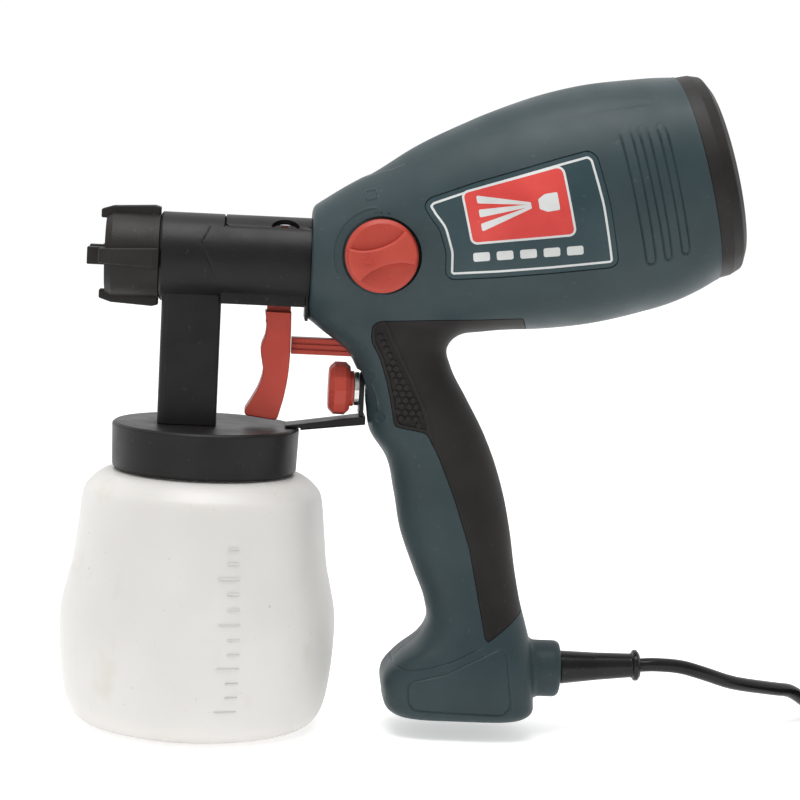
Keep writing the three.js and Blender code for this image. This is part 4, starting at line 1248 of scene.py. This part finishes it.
def side_label(base):
    skin = half(base, -1).trim(in_outline(LABEL_OUTLINE, -0.15))
    skin.refine()
    skin.refine()
    skin.points -= skin.normals() * 0.4
    prints = [
        (LABEL_OUTLINE, -2.2, 1), (LABEL_OUTLINE, -3.1, 0), (RED_FIELD, 0.9, 1), (RED_FIELD, 0.0, 2),
        *[(mark, 0.0, 1) for mark in spray_mark()], *[(bar, 0.0, 1) for bar in plain_bars()],
    ]
    for outline, extra, finish in prints:
        inside = in_outline(outline, extra)
        skin.split(inside)
        skin.finish[skin.where(inside)] = finish
    skin.thicken(0.5)
    inks = [LABEL, WHITE_PRINT, RED_PRINT]
    return piece("label_panel", skin, "handle_unit", "label", inks, ["side_label"])


# ---------------------------------------------------------------- rear cover
def rear_cover():
    """Grille cover: a stepped rim round a flat face with twelve radial slots."""
    rim = rounded([
        (40.2, -3.8), (40.2, GAP), (42.9, GAP, 0.4), (42.6, 6, 1), (41, 10.4, 1.5), (36.5, 12.8, 1.2),
        (34, 12.8), (32, 12.8), (28, 12.8), (24, 12.8), (20, 12.8), (16, 12.8), (12, 12.8), (6, 12.8),
    ], 4)
    skin = turned(rim, TURBINE, TURBINE_AXIS, 144, closed=False)
    across = unit(np.cross(TURBINE_AXIS, Y))
    for k in range(12):
        turn = 2 * math.pi * k / 12
        ray = math.cos(turn) * Y + math.sin(turn) * across
        side = np.cross(TURBINE_AXIS, ray)

        def slot(points):
            away = points - TURBINE
            along = np.clip(away @ ray, 14.5, 30.5)
            reach = np.hypot(away @ ray - along, away @ side) - 1.7
            return np.where(away @ TURBINE_AXIS > 11, -reach, -5.0)

        skin = skin.trim(slot)
    skin.thicken(2.0)
    return piece("rear_grille", skin, "handle_unit", "black_plastic", [NOZZLE], ["rear_cover"])


def handle_unit():
    base = whole_housing()
    for side in (-1, 1):
        housing_half(base, side)
        grip_half(base, side)
    side_label(base)
    rear_cover()


# ---------------------------------------------------------------- lock and switch rod
def lock_knob():
    """Round knob with a bow-tie grip bar and a plain pointer."""
    at = np.array((LOCK[0], 0.0, LOCK[1]))
    dial = turned(rounded([
        (0, -31.2), (11, -31.2), (LOCK_R - 1.6, -31.0, 0.8), (LOCK_R, -29.6, 0.8), (LOCK_R, -24.3, 0.3),
        (4, -24.3), (4, -19.9), (0, -19.9),
    ]), at, Y, 96)
    lean = 0.35

    def place(a, b, depth):
        right = math.cos(lean) * X + math.sin(lean) * Z
        up = math.cos(lean) * Z - math.sin(lean) * X
        return at + right * a + up * b + Y * depth

    waist = spline([(-12, -7.2), (-7, -4.7), (0, -3.7), (7, -4.7), (12, -7.2)], 5)
    ends = [(13.6, -4.5), (14.3, 0), (13.6, 4.5)]
    outline = np.vstack((waist, ends, -waist, [(-a, -b) for a, b in ends]))
    bar = prism(outline, -34.3, -30, place, 1.1)
    pointer = prism(np.array([(-8.2, 0.0), (-4.6, -2.0), (-4.6, 2.0)]), -34.6, -33, place, 0.15)
    return piece("lock_dial", joined(bar, dial, pointer), "lock", "red_plastic", [RED], ["lock_knob"])


def switch_rod():
    """Red pusher with two grooves down each side."""
    low, high, half_width, groove = 157.3, 164.2, 3.4, 0.8
    pitch = (high - low) / 3
    left = [(-half_width, low, 0.4)]
    for row in (1, 2):
        middle = low + row * pitch
        left += [(-half_width, middle - 0.5), (groove - half_width, middle - 0.4),
                 (groove - half_width, middle + 0.4), (-half_width, middle + 0.5)]
    left.append((-half_width, high, 0.4))
    right = [(-corner[0], *corner[1:]) for corner in reversed(left)]
    skin = prism(rounded(left + right, 3), 34.1, 70.5, lambda a, b, depth: (depth, a, b), 0.3)
    return piece("pusher_rod", skin, "switch_rod", "red_plastic", [RED], ["switch_rod"])


# ---------------------------------------------------------------- spray head
ON_AXIS = np.array((0.0, 0.0, BARREL_Z))
BARREL_SEAM = [(-1.3, 209.6), (-4.7, 202.4), (-1.2, 194.9), (2.3, 186.7)]


def barrel():
    """Barrel tube with its slot for the trigger, notches, seams, keel and rear lip."""
    steps = [(BARREL_R, x) for x in np.arange(-19.5, 39.5, 1.5)]
    line = rounded([(14.7, -33.9), (14.7, -21.7), (BARREL_R - 0.8, -21.7), (BARREL_R, -20.9)])
    spigot = [(BARREL_R, 40.2), (15.2, 40.2), (15.2, 62)]
    skin = turned([*line, *steps, *spigot], ON_AXIS, X, 120, closed=False)

    def trigger_slot(points):
        x, y, z = points.T
        reach = np.maximum(np.abs(y) - 4.9, np.abs(x - 29.55) - 9.15)
        return np.where(z < BARREL_Z, -reach, -5.0)

    skin = skin.trim(trigger_slot)

    def upper_seam(points):
        return np.where(points[:, 0] > 4.7, points[:, 2] - 209.8, 3.0)

    def upper_slit(points):
        return np.where(points[:, 2] > 209.8, points[:, 0] - 4.7, 3.0)

    def side_seam(points):
        return beside(side_view(points), BARREL_SEAM, steep=True)

    engrave(skin, side_seam, 0.9, 0.22, lambda points: (points[:, 2] > 186) & (points[:, 2] < 210))
    engrave(skin, upper_seam, 0.9, 0.3, lambda points: (points[:, 0] > 4) & (points[:, 0] < 40))
    engrave(skin, upper_slit, 0.9, 1.0)

    def notch(side):
        def value(points):
            x, y, z = points.T
            inside = np.maximum(np.hypot((x - 29.4) / 1.9, z - 210) - 3.1, 210 - z)
            return np.where(side * y > 0, -inside, -5.0)
        return value

    for side in (-1, 1):
        skin = skin.trim(notch(side))
    skin.thicken(2.2)
    keel_plan = [
        (3.8, -13, 0.5), (38.7, -13), (38.7, -4.9), (20.4, -4.9), (20.4, 4.9), (38.7, 4.9), (38.7, 13),
        (3.8, 13, 0.5),
    ]
    keel = prism(rounded(keel_plan), 177.7, 184, lambda a, b, depth: (a, b, depth), 0.4)
    lip_plan = rounded([(-12, 171.9, 1), (12, 171.9, 1), (12.8, 184, 1), (-12.8, 184, 1)])
    lip = prism(lip_plan, 38.9, 40.2, lambda a, b, depth: (depth, a, b), 0.3)
    fluid_tube = turned([(3, -26), (6.4, -26), (6.4, 12.5), (3, 12.5)], ON_AXIS, X, 48)
    web_plan = np.array([(-18, -5.2), (3, -5.2), (3, 5.2), (-18, 5.2)])
    web = prism(web_plan, 178, 191, lambda a, b, depth: (a, b, depth), 0.3)
    whole = joined(skin, keel, lip, fluid_tube, web)
    return piece("barrel_shell", whole, "spray_head", "black_plastic", [BLACK], ["barrel"])


def stem():
    plan = rounded([(-20.3, -11.5, 3.2), (4.2, -11.5, 1.6), (4.2, 11.5, 1.6), (-20.3, 11.5, 3.2)])
    column = prism(plan, LID_TOP + GAP, 181, lambda a, b, depth: (a, b, depth), 0.2)
    return piece("stem_column", column, "spray_head", "black_plastic", [BLACK], ["stem"])


def cup_lid():
    corners = [(0, 122.8), (36.3, 122.8), (36.3, 107.1), (37.6, 107.1, 0.5), (38.5, 108.3, 0.8),
               (39.05, LID_TOP - 0.9, 0.9), (37.9, LID_TOP, 0.9), (0, LID_TOP)]
    skin = turned(rounded(corners), np.zeros(3), Z, 144)
    return piece("screw_lid", skin, "spray_head", "black_plastic", [BLACK], ["cup_lid"])


def support_arm():
    """Thin arm from the lid back to the flow knob's bracket."""
    outline = rounded([
        (33, 126.6), (39.4, 126.7), (39.4, 125.8, 0.3), (66.3, 129.2, 0.4), (66.3, 132.9, 0.4),
        (39, 128.5, 8), (33, 127.6),
    ])
    skin = prism(outline, -7, 7, along_y, 0.6)
    return piece("arm_plate", skin, "spray_head", "black_plastic", [BLACK], ["support_arm"])


def flow_bracket():
    arch = [(7 * math.cos(turn), FLOW_Z + 7 * math.sin(turn)) for turn in np.linspace(0, math.pi, 24)]
    outline = np.array([(-7, 133.1), (7, 133.1), *arch])
    skin = prism(outline, 63.4, 65.3, lambda a, b, depth: (depth, a, b), 0.3)
    return piece("bracket_plate", skin, "spray_head", "black_plastic", [BLACK], ["flow_bracket"])


def trigger():
    """Trigger with finger rests down its front, and the shank that reaches its pin."""
    front = spline([
        (22.2, 178), (22.7, 174), (23.3, 169), (23, 164.8), (21.7, 161), (21.4, 158), (22.1, 154),
        (22.7, 150), (22, 146), (20.4, 141.6), (17.4, 136),
    ], 5)
    toe = rounded([(17.4, 136), (14.6, 131.3, 1.8), (29.4, 129.5, 1.8), (30.8, 135)], 5)
    back = spline([(30.8, 135), (31.8, 139), (33.1, 147), (33.7, 156), (33.7, 166), (33.4, 178)], 5)
    lever = prism(np.vstack((front[:-1], toe[1:-1], back[1:])), -7.5, 7.5, along_y, 0.9)
    lever = lever.trim(lambda points: points[:, 2] - 174.7)
    lid = lever.border(np.ones(len(lever.triangles), bool))
    middle = lever.add_points(lever.points[np.unique(lid)].mean(axis=0)[None])[0]
    lever.add_triangles(np.column_stack((lid[:, 1], lid[:, 0], np.full(len(lid), middle))))
    shank = prism(rounded([
        (23, 170), (33.2, 170), (33.4, 204, 3), (32.4, 206, 3), (26.2, 206, 3), (24.2, 192, 8),
    ]), -4, 4, along_y, 0.5)
    eye = turned([(2.3, -4), (4.2, -4), (4.2, 4), (2.3, 4)], (PIVOT[0], 0, PIVOT[1]), Y, 48)
    whole = joined(lever, shank, eye)
    return piece("trigger_lever", whole, "trigger", "red_plastic", [RED], ["trigger"])


def flow_knob():
    """Twelve-sided knob with bevelled ends and a round collar."""
    at = np.array((0.0, 0.0, FLOW_Z))
    profile = [(0, 50.4), (8.4, 50.4), (9.2, 50.8), (11.1, 52.8), (11.1, 57.4), (9.2, 59.4), (0, 59.6)]
    body = turned(profile, at, X, 12)
    collar = turned(rounded([(0, 59.2), (7.4, 59.2), (7.4, 61, 0.3), (0, 61)]), at, X, 64)
    whole = joined(body, collar)
    return piece("flow_dial", whole, "flow_knob", "red_plastic", [RED], ["flow_knob"], sharp=18)


def union_nut():
    """Nut that holds the air cap, with four hooked wings."""
    ring = turned(rounded([
        (12.9, -44.2, 0.3), (16.2, -44.2, 0.6), (17.6, -41.5, 0.8), (17.6, -22, 0.4), (15.1, -22),
        (15.1, -41.8), (12.9, -41.8),
    ]), ON_AXIS, X, 120)
    outline = rounded([
        (-22, 16), (-22, 20.2, 0.4), (-24.4, 20.9, 2), (-41.6, 20, 3), (-46.6, 18.4, 0.9),
        (-46.6, 14.8, 0.7), (-43.9, 14.8, 0.5), (-42.6, 16),
    ])
    wings = []
    for k in range(4):
        turn = math.pi / 2 * k
        out = math.cos(turn) * Z + math.sin(turn) * Y
        side = np.cross(X, out)
        wings.append(prism(
            outline, -3.6, 3.6,
            lambda a, b, depth: ON_AXIS + X * a + out * b + side * depth * (1 + 0.012 * (a + 34)), 0.7,
        ))
    whole = joined(ring, *wings)
    return piece("wing_nut", whole, "union_nut", "black_plastic", [NOZZLE], ["union_nut"])


def air_cap():
    """Air cap with the two horns that shape the spray."""
    cap = turned(rounded([
        (3.2, -43.8, 0.3), (12.6, -43.8, 0.4), (12.6, -41.5), (14.8, -41.5), (14.8, -36), (12.6, -36),
        (12.6, -40.4), (3.8, -41.9),
    ]), ON_AXIS, X, 120)
    outline = rounded([(-51.5, -4.1, 0.5), (-43, -4.1), (-43, 3.1), (-51.5, 3.1, 0.5)])
    horns = [
        prism(outline + (0, BARREL_Z), low, low + 5, along_y, 0.5) for low in (-11.8, 6.8)
    ]
    return piece("spray_cap", joined(cap, *horns), "air_cap", "black_plastic", [NOZZLE], ["air_cap"])


def needle_spring():
    """Return spring of the needle, made at its resting length; in the real gun the needle squeezes it as it
    slides back.
    """
    start, end, radius, wire, turns = 38.4, 51.2, 4.4, 0.55, 4
    share = np.linspace(0, 1, turns * 24)
    turn = 2 * math.pi * turns * share
    path = np.column_stack((
        start + (end - start) * share, radius * np.cos(turn), BARREL_Z + radius * np.sin(turn),
    ))
    made = piece("return_spring", tube(path, wire, 10), "spray_head", "steel", [STEEL], ["needle_spring"])
    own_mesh(made)


# ---------------------------------------------------------------- paint cup
# Cup wall as (radius, height), up the outside and back down the inside.
CUP_OUTSIDE = [
    (43.5, 0), (49.8, 2.4), (54, 8.5), (56.4, 20), (57.7, 36), (57.6, 48), (55.3, 59.5), (53.2, 69),
    (51.6, 83), (50, 96.2), (47.4, 101.2), (42, 105.3), (35.6, 106.8),
]
CUP_INSIDE = [
    (33.4, 105.2), (41.5, 102.6), (47.6, 95.5), (49.5, 82), (51.4, 67), (55, 50), (55.4, 36), (53.8, 19),
    (50.5, 8), (42.5, 2.4),
]


def cup_marks():
    """Raised level marks up one side, a long one every third."""
    heights = [height for _, height in CUP_OUTSIDE]
    radii = [radius for radius, _ in CUP_OUTSIDE]
    marks = []
    for k in range(12):
        z = 16 + 6 * k
        radius = np.interp(z, heights, radii) + 0.02
        reach = 0.16 if k % 3 == 0 else 0.09
        turn = math.radians(-72) + np.linspace(-reach, 0, 8)
        path = np.column_stack((radius * np.cos(turn), radius * np.sin(turn), np.full(8, z)))
        marks.append(tube(path, 0.45, 8))
    return marks


def paint_cup():
    """Blow-moulded cup: a wall with soft swells, a narrow neck and level marks."""
    outside = spline(CUP_OUTSIDE, 5)
    inside = spline(CUP_INSIDE, 4)
    neck = [(35.6, 114), (35.6, 121.2), (35.3, 121.5), (33.7, 121.5), (33.4, 121.2), (33.4, 114)]
    profile = [(0, 0), (20, 0), (36, 0), *outside, *neck, *inside, (20, 2.4), (0, 2.4)]
    skin = turned(profile, np.zeros(3), Z, 160)
    whole = joined(skin, *cup_marks())
    return piece("cup_bottle", whole, "paint_cup", "milky_plastic", [MILKY], ["paint_cup"])


# ---------------------------------------------------------------- CAD nodes that stay
KEPT = [
    (FOAM, ["air_filter"]),
    (LAMINATION, ["motor_stator", "motor_rotor"]),
    (STEEL, ["bearing_front", "bearing_rear", "trigger_pin", "needle", "fluid_nozzle",
             "flow_spindle", "spindle_washer", *[f"housing_screw_{k}" for k in range(1, 8)]]),
    (BRASS, ["brush_holder_left", "brush_holder_right"]),
    (BLACK, ["turbine_fan", "fan_shroud", "air_duct", "barrel_socket", "power_switch", "cable_clamp",
             "lock_cam", "spring_seat", "pickup_tube"]),
    (CORD, ["switch_lead"]),
    (SEAL, ["needle_packing", "barrel_seal", "cap_seal", "cup_gasket"]),
]


def dress_kept_nodes():
    for finish, names in KEPT:
        for name in names:
            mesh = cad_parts[name].data
            mesh.materials.clear()
            mesh.materials.append(finish)


def floor():
    """Wide pale floor under the cup."""
    low, high = -2.0, 2.5
    mesh = bpy.data.meshes.new("floor")
    corners = [(low, low, 0), (high, low, 0), (high, high, 0), (low, high, 0)]
    mesh.from_pydata(corners, [], [(0, 1, 2, 3)])
    mesh.materials.append(pale_floor())
    made = bpy.data.objects.new("floor", mesh)
    made.location.z = -0.0004
    bpy.context.scene.collection.objects.link(made)


camera()
studio()
floor()
leads()
handle_unit()
lock_knob()
switch_rod()
for make in (
    barrel, stem, cup_lid, support_arm, flow_bracket, trigger, flow_knob, union_nut, air_cap, needle_spring,
    paint_cup,
):
    make()
dress_kept_nodes()
